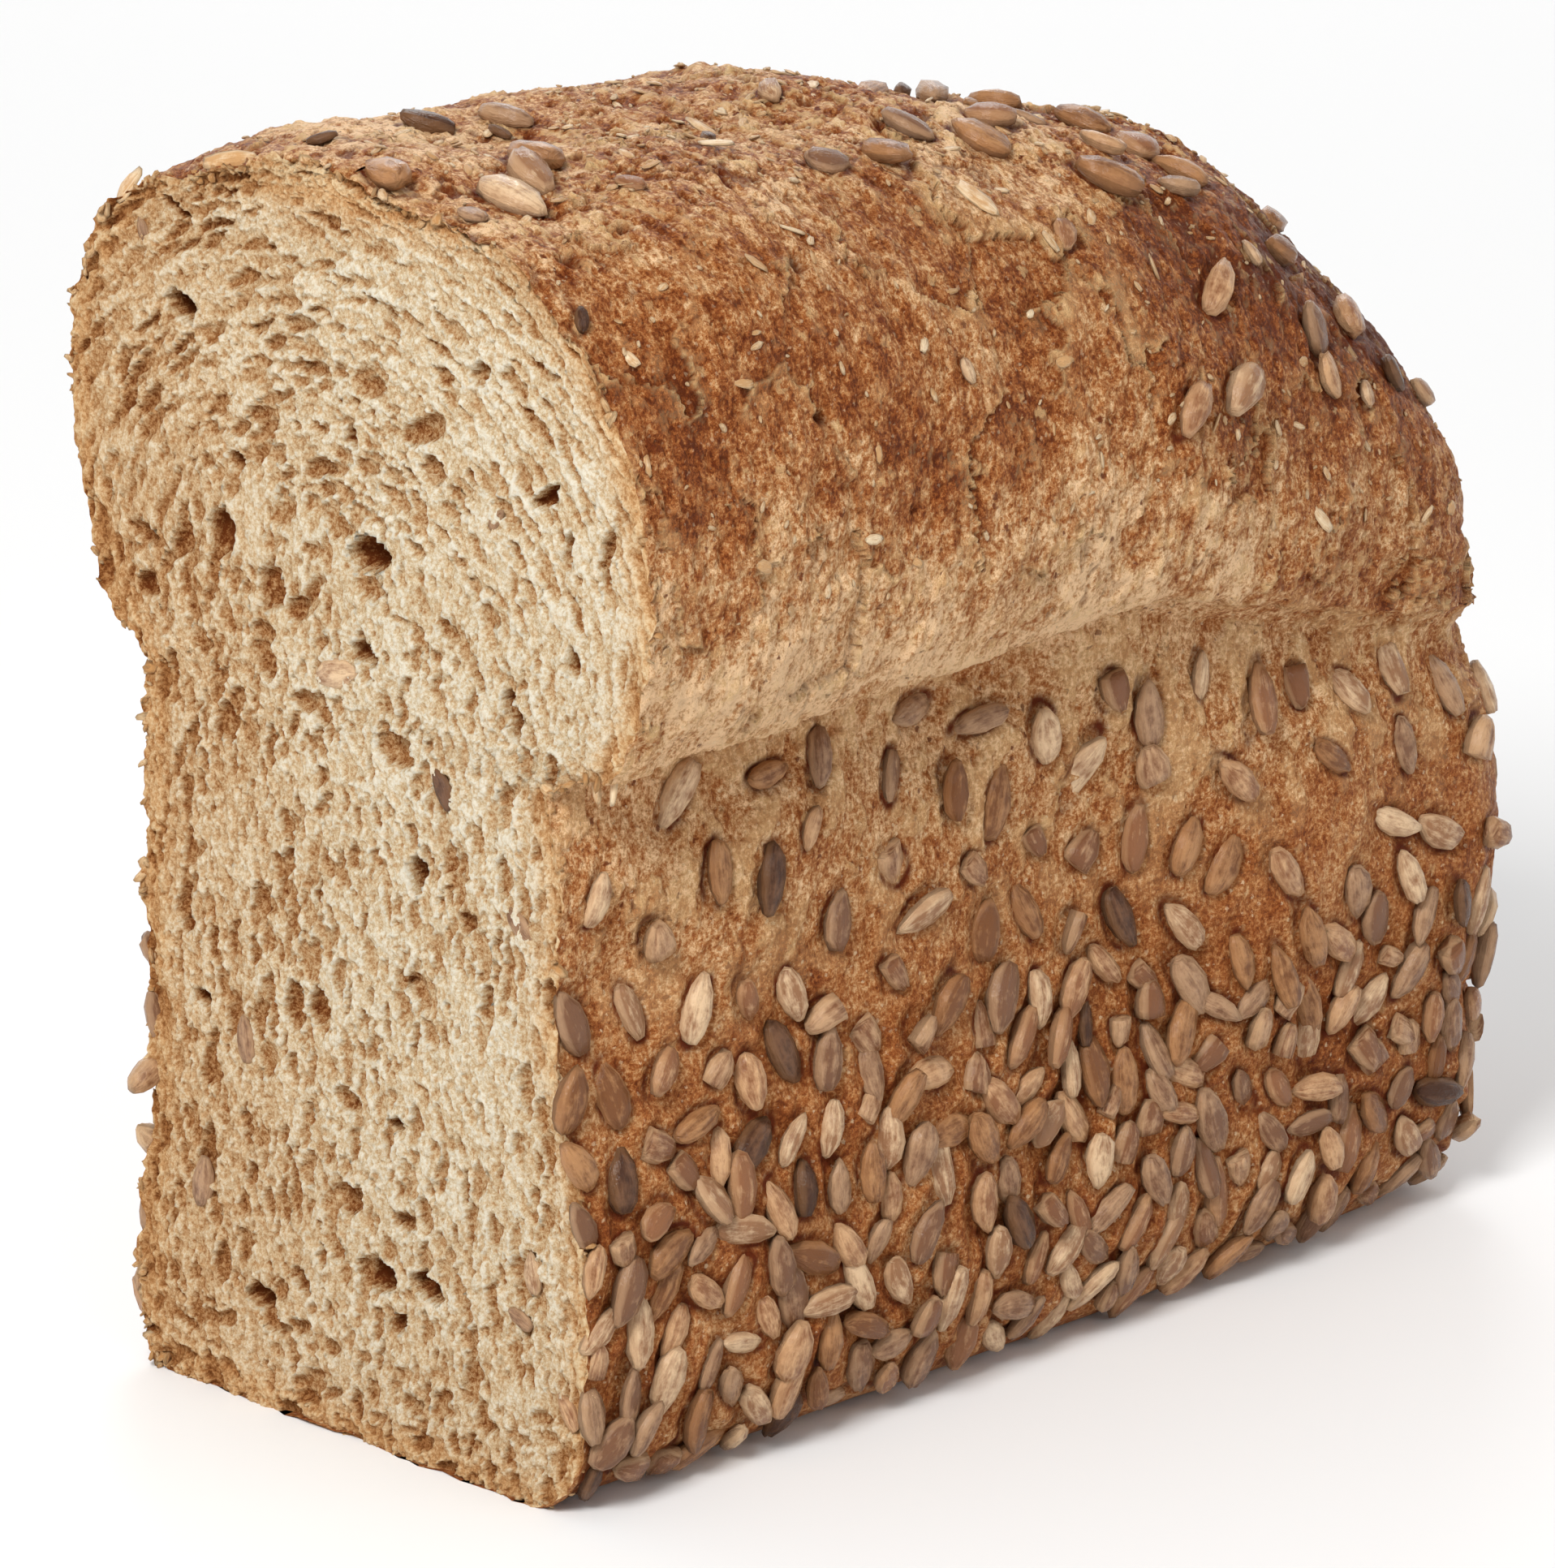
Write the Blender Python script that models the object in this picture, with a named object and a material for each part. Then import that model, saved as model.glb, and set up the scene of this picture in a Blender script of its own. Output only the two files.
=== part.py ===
"""Cut half of a tin loaf of seeded wholegrain bread, standing on its flat base.

Lengths are in metres. The loaf runs along X: its cut face looks to -X and its rounded
heel to +X. The near long side looks to -Y, the far one to +Y, and the base lies on z = 0.

The crust is one surface of two parameters. The first, u, runs round the loaf: 0 to 1
along the near side from the cut to the heel, 1 to 2 round the heel, 2 to 3 back along the
far side. The second, v, runs from the middle of the base, out and up the tin wall, over
the overhanging lip and up the crown to the spine.
"""

import bmesh
import bpy
import numpy as np

MM = 0.001
TINY = 1e-7

# Overall sizes
LENGTH = 165 * MM
SPINE_END = LENGTH / 2 - 44.6 * MM  # where the crown's ridge ends and the heel fans out

# Crown's ridge: level behind the cut, then falling towards the heel
RIDGE_HEIGHT = 154.6 * MM
RIDGE_FALL = 0.235
RIDGE_BEND = -20 * MM
RIDGE_EASE = 20 * MM
CUT_SAG = 3.4 * MM
CUT_SAG_REACH = 15 * MM

# Sizes of a side's profile at the cut, halfway along and at the heel's corner
STATIONS = np.array([-0.5, 0.05, 0.44]) * LENGTH
NEAR = {
    "foot": [40.3, 39.8, 38.4],
    "foot_round": [12.0, 9.5, 11.0],
    "foot_rise": [19.0, 15.0, 18.0],
    "waist": [35.2, 36.2, 40.4],
    "crease": [32.8, 34.0, 37.4],
    "crease_z": [87.8, 89.5, 74.0],
    "lip": [42.6, 42.0, 38.6],
    "lip_z": [90.9, 93.0, 77.0],
    "belly": [48.8, 47.5, 39.6],
    "belly_z": [107.0, 111.0, 85.0],
    "crown_power": [3.0, 2.3, 1.75],
}
FAR = {
    "foot": [38.7, 39.3, 38.2],
    "foot_round": [5.0, 7.0, 11.0],
    "foot_rise": [8.0, 11.0, 18.0],
    "waist": [36.6, 36.6, 40.0],
    "crease": [35.2, 34.4, 37.2],
    "crease_z": [88.5, 88.0, 74.5],
    "lip": [38.9, 40.2, 38.4],
    "lip_z": [92.0, 91.5, 77.5],
    "belly": [48.9, 47.8, 39.6],
    "belly_z": [121.0, 115.0, 85.5],
    "crown_power": [2.4, 2.3, 1.75],
}
# Reach of the heel's own profile from the spine's end
HEEL = {"foot": 41.6, "waist": 44.4, "crease": 41.8, "lip": 42.8, "belly": 43.2}
HEEL_ROUND = 11.0

# Where the stretches of a profile end, as values of v
V_BASE = 0.13
V_FOOT = 0.21
V_WALL = 0.50
V_LIP = 0.55
V_BELLY = 0.66

# Plan corners of the heel: squarer at the tin wall than on the crown
WALL_CORNER = 7.0
BELLY_CORNER = 3.4
CROWN_CORNER = 2.3

# How the stretches bend: where the wall has narrowed and where it pinches in, as shares of
# its height, and the roundness of the belly
WALL_NARROW = 1 / 1.5
WALL_PINCH = 0.78
BELLY_BEND = 1.2

# Slow lumps of the dough
LUMP_SEED = 11
LUMP_WAVES = 14
LUMP_SIZE = 0.95 * MM
LUMP_LENGTHS = (24 * MM, 70 * MM)
AXIS_HEIGHT = 72 * MM
FLAT_HEIGHT = 4 * MM  # below this the lumps are gone, and above it they come back
LUMP_EASE = 14 * MM

# Mesh of the crust
SIDE_STEPS = 17
HEEL_STEPS = 24
BASE_ROWS = 2
FOOT_ROWS = 3
WALL_ROWS = 9
LIP_ROWS = 2
BELLY_ROWS = 3
CROWN_ROWS = 8

# Sunflower kernels pressed into the crust
KERNEL_SIZE = np.array([8.8, 4.1, 2.7]) * MM
KERNEL_SINK = 0.05 * MM
KERNEL_SIDES = 6
KERNEL_RINGS = (0.24, 0.66)
KERNEL_BLUNT = 0.75  # power of the girth's half wave, and its narrowing to the tip
KERNEL_GIRTH = 1.1
KERNEL_NARROW = 0.35

# Kernels sown on the tin walls
KERNEL_SEED = 5
KERNEL_SPREAD = 0.12
WALL_KERNELS = 130
WALL_SPACING = 9.3 * MM
WALL_TILT = 38
WALL_BAND = (0.165, 0.48)  # stretch of v that they are sown on
CUT_MARGIN = 6.0 * MM
BASE_MARGIN = 6.0 * MM
TRIES_PER_KERNEL = 60
SPARSE_LOSS = 0.86  # share of kernels missing from the top of the wall
SPARSE_START = 0.25
SPARSE_EASE = 0.5

# Kernels on the crown, where the photo shows them: u, v, turn in degrees, size. Most lie
# along the ridge and down the shoulder near the heel
CROWN_KERNELS = (
    (0.03, 0.985, -10, 0.95),
    (0.10, 0.933, 10, 1.05),
    (0.15, 0.948, -5, 1.05),
    (0.19, 0.968, -10, 1.12),
    (0.44, 0.890, 70, 0.80),
    (0.53, 0.894, -10, 1.08),
    (0.61, 0.920, 20, 0.92),
    (0.68, 0.904, 30, 0.88),
    (0.73, 0.924, 50, 0.86),
    (0.79, 0.863, 40, 1.08),
    (0.84, 0.894, 20, 0.72),
    (0.90, 0.860, 50, 0.76),
    (0.95, 0.884, 20, 0.78),
    (0.95, 0.920, -20, 1.00),
    (0.96, 0.968, 15, 0.88),
    (0.76, 0.700, -45, 0.92),
    (0.85, 0.722, -55, 1.02),
    (0.87, 0.791, -50, 1.00),
    (1.02, 0.745, 25, 0.82),
    (1.02, 0.776, 35, 0.95),
    (1.04, 0.831, 75, 0.95),
    (1.15, 0.798, -60, 1.02),
    (1.16, 0.756, 30, 0.78),
    (1.22, 0.871, 75, 0.95),
    (1.40, 0.790, -20, 0.95),
    (1.62, 0.730, 40, 0.90),
    (1.80, 0.850, 10, 1.00),
    (2.08, 0.980, 25, 0.80),
    (2.13, 0.960, -40, 1.05),
    (2.23, 0.965, -65, 0.90),
    (2.45, 0.830, 60, 0.95),
    (2.71, 0.956, 20, 0.90),
    (2.79, 0.941, 45, 0.78),
)

# Large pores of the cut face: place across, height, length, width, turn in degrees
PORES = (
    (-28.0, 134.0, 6.0, 4.2, 60),
    (-17.0, 143.0, 7.0, 3.2, 10),
    (6.0, 121.0, 8.0, 4.0, -20),
    (29.0, 115.0, 4.2, 7.5, 0),
    (-22.0, 110.0, 5.6, 3.6, 20),
    (-12.0, 118.0, 5.4, 3.6, 45),
    (5.0, 100.5, 8.0, 4.8, 35),
    (27.0, 81.0, 4.0, 8.5, 5),
    (7.0, 86.0, 6.6, 4.0, -10),
    (-24.0, 70.0, 4.0, 6.6, 0),
    (12.0, 58.0, 6.0, 4.0, 30),
    (-5.0, 40.0, 5.6, 3.8, 0),
    (22.0, 34.0, 4.4, 6.4, 10),
    (-2.0, 16.0, 8.2, 5.6, 15),
    (15.0, 12.0, 5.6, 3.8, -15),
    (-17.0, 11.0, 5.6, 3.8, 20),
)
PORE_DEPTH = 2.8 * MM

SLOPE_STEP = 2e-3  # step of u and v for the crust's slopes
JOIN_DISTANCE = 1e-6
SCRAP_DISTANCE = 2e-6

CRUST_COLOUR = (0.42, 0.22, 0.09, 1.0)
CRUST_ROUGHNESS = 0.62


def eased(t):
    """A ramp from 0 to 1 that starts and ends level."""
    t = np.clip(t, 0.0, 1.0)
    return t * t * (3.0 - 2.0 * t)


def ridge_height(x):
    """Height of the crown's ridge: level, then a straight fall after a soft bend."""
    past = x - RIDGE_BEND
    fall = RIDGE_FALL * (np.hypot(past, RIDGE_EASE) + past) / 2
    sag = CUT_SAG * np.exp(-(x + LENGTH / 2) / CUT_SAG_REACH)
    return RIDGE_HEIGHT - fall - sag


def side_size(name, x, side):
    """One size of the profile at x, mixed from the near side (0) to the far one (1)."""
    place = np.clip(x, STATIONS[0], STATIONS[-1])
    scale = 1.0 if name == "crown_power" else MM
    low = np.interp(place, STATIONS, NEAR[name])
    high = np.interp(place, STATIONS, FAR[name])
    return scale * (low * (1 - side) + high * side)


def crown_arc(v, power):
    """Quarter of a superellipse with semi-axes of 1, in polar form: across and up."""
    turn = np.pi / 2 * np.clip((v - V_BELLY) / (1 - V_BELLY), 0, 1)
    cosine, sine = np.clip(np.cos(turn), 0, 1), np.sin(turn)
    size = (cosine**power + sine**power) ** (-1 / power)
    return cosine * size, sine * size


def profile_reach(v, foot, foot_round, waist, crease, lip, belly, power):
    """Distance from the spine at v: flat base, quarter-round foot, wall that narrows to
    the waist and pinches in to the crease, lip that swings out, belly and crown."""
    base = (foot - foot_round) * v / V_BASE
    foot_turn = np.pi / 2 * np.clip((v - V_BASE) / (V_FOOT - V_BASE), 0, 1)
    foot_part = foot - foot_round + foot_round * np.sin(foot_turn)
    up = (v - V_FOOT) / (V_WALL - V_FOOT)
    pinch = eased((up - WALL_PINCH) / (1 - WALL_PINCH))
    wall = foot + (waist - foot) * eased(up / WALL_NARROW) + (crease - waist) * pinch
    out = np.clip((v - V_WALL) / (V_LIP - V_WALL), 0, 1)
    lip_part = crease + (lip - crease) * out
    belly_turn = np.pi / 2 * np.clip((v - V_LIP) / (V_BELLY - V_LIP), 0, 1)
    belly_part = lip + (belly - lip) * np.sin(belly_turn) ** BELLY_BEND
    crown = belly * crown_arc(v, power)[0]
    stretches = [v <= V_BASE, v <= V_FOOT, v <= V_WALL, v <= V_LIP, v <= V_BELLY]
    return np.select(stretches, [base, foot_part, wall, lip_part, belly_part], crown)


def profile_height(v, foot_rise, crease_z, lip_z, belly_z, ridge_z, power):
    """Height above the base at v, stretch by stretch as in profile_reach."""
    foot_turn = np.pi / 2 * np.clip((v - V_BASE) / (V_FOOT - V_BASE), 0, 1)
    foot_part = foot_rise * (1 - np.cos(foot_turn))
    up = np.clip((v - V_FOOT) / (V_WALL - V_FOOT), 0, 1)
    wall = foot_rise + (crease_z - foot_rise) * up
    out = np.clip((v - V_WALL) / (V_LIP - V_WALL), 0, 1)
    lip_part = crease_z + (lip_z - crease_z) * np.sin(out * np.pi / 2)
    belly_turn = np.pi / 2 * np.clip((v - V_LIP) / (V_BELLY - V_LIP), 0, 1)
    belly_part = lip_z + (belly_z - lip_z) * (1 - np.cos(belly_turn) ** BELLY_BEND)
    crown = belly_z + (ridge_z - belly_z) * crown_arc(v, power)[1]
    stretches = [v <= V_FOOT, v <= V_WALL, v <= V_LIP, v <= V_BELLY]
    return np.select(stretches, [foot_part, wall, lip_part, belly_part], crown)


def lumps(points):
    """Slow swelling of the dough: a sum of plane waves with seeded directions."""
    draw = np.random.default_rng(LUMP_SEED)
    directions = draw.normal(size=(LUMP_WAVES, 3))
    directions /= np.linalg.norm(directions, axis=1, keepdims=True)
    lengths = draw.uniform(*LUMP_LENGTHS, LUMP_WAVES)
    phases = draw.uniform(0, 2 * np.pi, LUMP_WAVES)
    waves = np.sin(points @ (directions * (2 * np.pi / lengths[:, None])).T + phases)
    return LUMP_SIZE * waves.sum(axis=-1) / np.sqrt(LUMP_WAVES / 2)


def crust(u, v):
    """Points of the crust. Along the sides the profile is carried straight; round the heel
    it is swept as a superellipse in polar form, whose power falls from the tin wall to the
    crown. Slow lumps push it away from the loaf's axis, fading to nothing at the base."""
    along = np.where(u < 1, u, np.where(u > 2, 3 - u, 1))
    turn = np.pi * (np.clip(u, 1, 2) - 1.5)
    side = (1 + np.sin(turn)) / 2
    side = np.where(u < 1, 0.0, np.where(u > 2, 1.0, side))
    straight_x = -LENGTH / 2 + along * (SPINE_END + LENGTH / 2)
    station = straight_x + HEEL["belly"] * MM * np.cos(turn)

    power = side_size("crown_power", station, side)
    names = ("foot", "foot_round", "waist", "crease", "lip", "belly")
    sizes = [side_size(name, station, side) for name in names]
    across = profile_reach(v, *sizes, power)
    heel = [HEEL[name] * MM for name in ("waist", "crease", "lip", "belly")]
    ahead = profile_reach(v, HEEL["foot"] * MM, HEEL_ROUND * MM, *heel, power)

    corner = np.interp(v, (V_LIP, V_BELLY, 1.0), (WALL_CORNER, BELLY_CORNER, CROWN_CORNER))
    cosine, sine = np.clip(np.cos(turn), 0, 1), np.sin(turn)
    ahead, across = np.maximum(ahead, TINY), np.maximum(across, TINY)
    reach = ((cosine / ahead) ** corner + (np.abs(sine) / across) ** corner) ** (-1 / corner)
    x = straight_x + reach * cosine
    y = reach * sine
    heights = [side_size(name, station, side) for name in ("foot_rise", "crease_z", "lip_z", "belly_z")]
    z = profile_height(v, *heights, ridge_height(x), power)

    points = np.stack(np.broadcast_arrays(x, y, z), axis=-1)
    spine = np.stack(np.broadcast_arrays(straight_x, 0 * y, AXIS_HEIGHT + 0 * z), axis=-1)
    outward = points - spine
    outward /= np.linalg.norm(outward, axis=-1, keepdims=True)
    free = eased((points[..., 2] - FLAT_HEIGHT) / LUMP_EASE)
    return points + outward * (lumps(points) * free)[..., None]


def crust_frame(u, v):
    """Point, outward normal and up-the-wall direction of the crust at one place."""
    step = SLOPE_STEP
    point = crust(u, v)
    around = crust(u + step, v) - crust(u - step, v)
    upward = crust(u, v + step) - crust(u, v - step)
    normal = np.cross(around, upward)
    normal /= np.linalg.norm(normal)
    upward /= np.linalg.norm(upward)
    return point, normal, upward


def rows_of_profile():
    """Values of v for the rows of the crust's mesh, closer together at the lip."""
    ends = (0, V_BASE, V_FOOT, V_WALL, V_LIP, V_BELLY, 1)
    counts = (BASE_ROWS, FOOT_ROWS, WALL_ROWS, LIP_ROWS, BELLY_ROWS, CROWN_ROWS)
    parts = [np.linspace(a, b, n, endpoint=False) for a, b, n in zip(ends, ends[1:], counts)]
    return np.append(np.concatenate(parts), 1.0)


def columns_of_outline():
    """Values of u for the columns of the crust's mesh, mirrored about the heel's middle."""
    side = np.linspace(0, 1, SIDE_STEPS, endpoint=False)
    heel = np.linspace(1, 2, HEEL_STEPS + 1)
    return np.concatenate([side, heel, 3 - side[::-1]])


def mesh_object(name, points, faces):
    """An object from points and faces, with doubled points joined and faces outward."""
    mesh = bpy.data.meshes.new(name)
    mesh.from_pydata(points.tolist(), [], faces)
    shape = bmesh.new()
    shape.from_mesh(mesh)
    bmesh.ops.remove_doubles(shape, verts=shape.verts, dist=JOIN_DISTANCE)
    bmesh.ops.recalc_face_normals(shape, faces=shape.faces)
    shape.to_mesh(mesh)
    shape.free()
    thing = bpy.data.objects.new(name, mesh)
    bpy.context.collection.objects.link(thing)
    return thing


def loaf_core():
    """The bare loaf: the crust's grid, folded shut along the spine and closed by the
    flat cut face."""
    rows = rows_of_profile()
    columns = columns_of_outline()
    grid = crust(columns[:, None], rows[None, :])
    grid[0, :, 0] = grid[-1, :, 0] = -LENGTH / 2
    ring_count, row_count = grid.shape[:2]
    middle = (ring_count - 1) // 2
    for column in range(middle):
        twin = ring_count - 1 - column
        for row in (0, row_count - 1):
            grid[twin, row] = grid[column, row]
    index = np.arange(ring_count * row_count).reshape(ring_count, row_count)
    quads = np.stack([index[:-1, :-1], index[1:, :-1], index[1:, 1:], index[:-1, 1:]], axis=-1)
    faces = quads.reshape(-1, 4).tolist()
    faces.append(index[0, ::-1].tolist() + index[-1, 1:-1].tolist())
    return mesh_object("loaf", grid.reshape(-1, 3), faces)


def kernel_mesh(size):
    """A hulled sunflower kernel: a flattened drop, blunt at one end, along its own X."""
    length, width, thickness = size
    turn = np.linspace(0, 2 * np.pi, KERNEL_SIDES, endpoint=False)
    rings = np.array(KERNEL_RINGS)
    girth = np.sin(np.pi * rings) ** KERNEL_BLUNT * (KERNEL_GIRTH - KERNEL_NARROW * rings)
    x = np.repeat(length * (rings - 0.5), KERNEL_SIDES)
    y = np.outer(girth, np.cos(turn)).ravel() * width / 2
    z = np.outer(girth, np.sin(turn)).ravel() * thickness / 2
    points = np.stack([x, y, z], axis=-1)
    tips = np.array([[-length / 2, 0, 0], [length / 2, 0, 0]])
    points = np.concatenate([points, tips])
    blunt, sharp = len(points) - 2, len(points) - 1
    last = (len(rings) - 1) * KERNEL_SIDES
    faces = []
    for side in range(KERNEL_SIDES):
        after = (side + 1) % KERNEL_SIDES
        faces.append([blunt, after, side])
        faces.append([sharp, last + side, last + after])
        for start in range(0, last, KERNEL_SIDES):
            above = start + KERNEL_SIDES
            faces.append([start + side, start + after, above + after, above + side])
    return points, faces


def wall_kernel_places():
    """Seeded places of the kernels of the tin walls, crowding downwards: a list of
    (u, v, turn, size)."""
    draw = np.random.default_rng(KERNEL_SEED)
    places = []
    kept = np.empty((0, 3))
    low, high = WALL_BAND
    for _ in range(TRIES_PER_KERNEL * WALL_KERNELS):
        u, v, chance, turn, growth = draw.uniform(size=5)
        u, v = 3 * u, low + (high - low) * v
        point = crust(u, v)
        height = (v - V_FOOT) / (V_WALL - V_FOOT)
        crowding = 1.0 - SPARSE_LOSS * eased((height - SPARSE_START) / SPARSE_EASE)
        inside = point[0] > CUT_MARGIN - LENGTH / 2 and point[2] > BASE_MARGIN
        near = np.linalg.norm(kept - point, axis=1) < WALL_SPACING
        if chance > crowding or not inside or near.any():
            continue
        kept = np.vstack([kept, point])
        places.append((u, v, WALL_TILT * (2 * turn - 1), 1 + KERNEL_SPREAD * (2 * growth - 1)))
        if len(places) == WALL_KERNELS:
            break
    return places


def kernel_objects():
    """Each kernel as its own solid, laid on the crust and sunk halfway into it."""
    things = []
    for number, (u, v, turn, growth) in enumerate(wall_kernel_places() + list(CROWN_KERNELS)):
        point, normal, upward = crust_frame(u, v)
        across = np.cross(normal, upward)
        angle = np.radians(turn)
        lengthwise = np.cos(angle) * upward + np.sin(angle) * across
        sideways = np.cross(normal, lengthwise)
        points, faces = kernel_mesh(KERNEL_SIZE * growth)
        points = points @ np.stack([lengthwise, sideways, normal]) + point - normal * KERNEL_SINK
        things.append(mesh_object(f"kernel_{number}", points, faces))
    return things


def pore_objects():
    """Ellipsoids that are cut out of the crumb, half buried behind the cut face."""
    things = []
    for number, (across, height, length, width, turn) in enumerate(PORES):
        ball = bmesh.new()
        bmesh.ops.create_icosphere(ball, subdivisions=2, radius=1.0)
        ball.verts.ensure_lookup_table()
        points = np.array([vertex.co for vertex in ball.verts])
        faces = [[vertex.index for vertex in face.verts] for face in ball.faces]
        ball.free()
        angle = np.radians(turn)
        y = points[:, 1] * length / 2 * MM
        z = points[:, 2] * width / 2 * MM
        placed = np.stack(
            [
                points[:, 0] * PORE_DEPTH - LENGTH / 2,
                y * np.cos(angle) - z * np.sin(angle) + across * MM,
                y * np.sin(angle) + z * np.cos(angle) + height * MM,
            ],
            axis=-1,
        )
        things.append(mesh_object(f"pore_{number}", placed, faces))
    return things


def combine(thing, others, operation):
    """Join other objects to a thing, or cut them from it, with one Boolean on their
    collection, and remove them."""
    group = bpy.data.collections.new(operation.lower())
    for other in others:
        group.objects.link(other)
    change = thing.modifiers.new(operation.lower(), "BOOLEAN")
    change.operand_type = "COLLECTION"
    change.collection = group
    change.operation = operation
    change.solver = "EXACT"
    bpy.context.view_layer.update()
    seen = thing.evaluated_get(bpy.context.evaluated_depsgraph_get())
    result = bpy.data.meshes.new_from_object(seen)
    thing.modifiers.clear()
    thing.data = result
    for other in others:
        bpy.data.objects.remove(other)
    bpy.data.collections.remove(group)


def keep_largest_shell(mesh):
    """Drop every loose scrap and sealed hollow: all shells but the largest."""
    shape = bmesh.new()
    shape.from_mesh(mesh)
    bmesh.ops.remove_doubles(shape, verts=shape.verts, dist=SCRAP_DISTANCE)
    bmesh.ops.triangulate(shape, faces=shape.faces)
    unseen = set(shape.verts)
    shells = []
    while unseen:
        stack = [unseen.pop()]
        shell = list(stack)
        while stack:
            for edge in stack.pop().link_edges:
                for vertex in edge.verts:
                    if vertex in unseen:
                        unseen.discard(vertex)
                        stack.append(vertex)
                        shell.append(vertex)
        shells.append(shell)
    shells.sort(key=len)
    scraps = [vertex for shell in shells[:-1] for vertex in shell]
    bmesh.ops.delete(shape, geom=scraps, context="VERTS")
    shape.to_mesh(mesh)
    shape.free()


def stand_on_origin(mesh):
    """Move the mesh so that the bottom centre of its box is the origin."""
    points = np.array([vertex.co for vertex in mesh.vertices])
    low, high = points.min(axis=0), points.max(axis=0)
    points -= [(low[0] + high[0]) / 2, (low[1] + high[1]) / 2, low[2]]
    mesh.vertices.foreach_set("co", points.ravel().astype(np.float32))
    mesh.update()


def crust_material():
    """Baked crust: warm brown and matt."""
    material = bpy.data.materials.new("crust")
    material.use_nodes = True
    shader = material.node_tree.nodes["Principled BSDF"]
    shader.inputs["Base Color"].default_value = CRUST_COLOUR
    shader.inputs["Roughness"].default_value = CRUST_ROUGHNESS
    shader.inputs["Metallic"].default_value = 0.0
    return material


def main():
    for thing in list(bpy.data.objects):
        bpy.data.objects.remove(thing, do_unlink=True)
    loaf = loaf_core()
    combine(loaf, kernel_objects(), "UNION")
    combine(loaf, pore_objects(), "DIFFERENCE")
    keep_largest_shell(loaf.data)
    stand_on_origin(loaf.data)
    loaf.data.materials.clear()
    loaf.data.materials.append(crust_material())
    for face in loaf.data.polygons:
        face.use_smooth = False
    print("loaf triangles:", len(loaf.data.polygons))


main()
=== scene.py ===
"""Looks of a cut half loaf of seeded wholegrain tin bread.

The loaf runs along X, with its cut face towards -X and its rounded heel towards +X. The
near long side looks to -Y and the base lies on z = 0. Lengths are in metres.

The crust is one surface of two parameters, the same as the solid's. The first, u, runs
round the loaf: 0 to 1 along the near side from the cut to the heel, 1 to 2 round the heel,
2 to 3 back along the far side. The second, v, runs from the middle of the base, out and up
the tin wall, over the overhanging lip and up the crown to the spine. Relief is added to it
along its normals, kernels are set into it, and the crumb closes it at the cut.
"""

import itertools

import bpy
import numpy as np
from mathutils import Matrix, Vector


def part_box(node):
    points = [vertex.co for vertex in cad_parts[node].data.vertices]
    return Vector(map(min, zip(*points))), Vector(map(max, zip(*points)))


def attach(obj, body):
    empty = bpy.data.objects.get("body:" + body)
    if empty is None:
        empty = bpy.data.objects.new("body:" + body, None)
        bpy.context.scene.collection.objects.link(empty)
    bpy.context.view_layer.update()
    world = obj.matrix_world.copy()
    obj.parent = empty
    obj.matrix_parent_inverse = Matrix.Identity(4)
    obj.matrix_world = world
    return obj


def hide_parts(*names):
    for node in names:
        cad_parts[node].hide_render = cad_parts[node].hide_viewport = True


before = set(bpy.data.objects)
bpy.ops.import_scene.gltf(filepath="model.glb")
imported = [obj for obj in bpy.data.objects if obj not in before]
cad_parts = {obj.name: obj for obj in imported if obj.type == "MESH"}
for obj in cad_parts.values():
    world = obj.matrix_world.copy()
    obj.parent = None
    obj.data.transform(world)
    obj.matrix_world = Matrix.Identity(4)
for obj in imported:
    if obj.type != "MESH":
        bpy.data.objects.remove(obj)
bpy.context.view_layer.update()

MM = 0.001
TINY = 1e-7
NEVER_ZERO = 1e-12
FRAME_STEP = 2e-3

# Overall sizes of the loaf
LENGTH = 165 * MM
SPINE_END = LENGTH / 2 - 44.6 * MM
RIDGE_HEIGHT = 154.6 * MM
RIDGE_FALL = 0.235
RIDGE_BEND = -20 * MM
RIDGE_EASE = 20 * MM
CUT_SAG = 3.4 * MM
CUT_SAG_REACH = 15 * MM

# Sizes of a side's profile at the cut, halfway along and at the heel's corner, in mm
STATIONS = np.array([-0.5, 0.05, 0.44]) * LENGTH
NEAR = {
    "foot": [40.3, 39.8, 38.4],
    "foot_round": [12.0, 9.5, 11.0],
    "foot_rise": [19.0, 15.0, 18.0],
    "waist": [35.2, 36.2, 40.4],
    "crease": [32.8, 34.0, 37.4],
    "crease_z": [87.8, 89.5, 74.0],
    "lip": [42.6, 42.0, 38.6],
    "lip_z": [90.9, 93.0, 77.0],
    "belly": [48.8, 47.5, 39.6],
    "belly_z": [107.0, 111.0, 85.0],
    "crown_power": [3.0, 2.3, 1.75],
}
FAR = {
    "foot": [38.7, 39.3, 38.2],
    "foot_round": [5.0, 7.0, 11.0],
    "foot_rise": [8.0, 11.0, 18.0],
    "waist": [36.6, 36.6, 40.0],
    "crease": [35.2, 34.4, 37.2],
    "crease_z": [88.5, 88.0, 74.5],
    "lip": [38.9, 40.2, 38.4],
    "lip_z": [92.0, 91.5, 77.5],
    "belly": [48.9, 47.8, 39.6],
    "belly_z": [121.0, 115.0, 85.5],
    "crown_power": [2.4, 2.3, 1.75],
}
HEEL = {"foot": 41.6, "waist": 44.4, "crease": 41.8, "lip": 42.8, "belly": 43.2}
HEEL_ROUND = 11.0

# Where the stretches of a profile end, as values of v, then halfway up the wall, and halfway
# round the heel as a value of u
V_BASE = 0.13
V_FOOT = 0.21
V_WALL = 0.50
V_LIP = 0.55
V_BELLY = 0.66
V_WAIST = 0.4
HEEL_MIDDLE = 1.5

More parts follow.
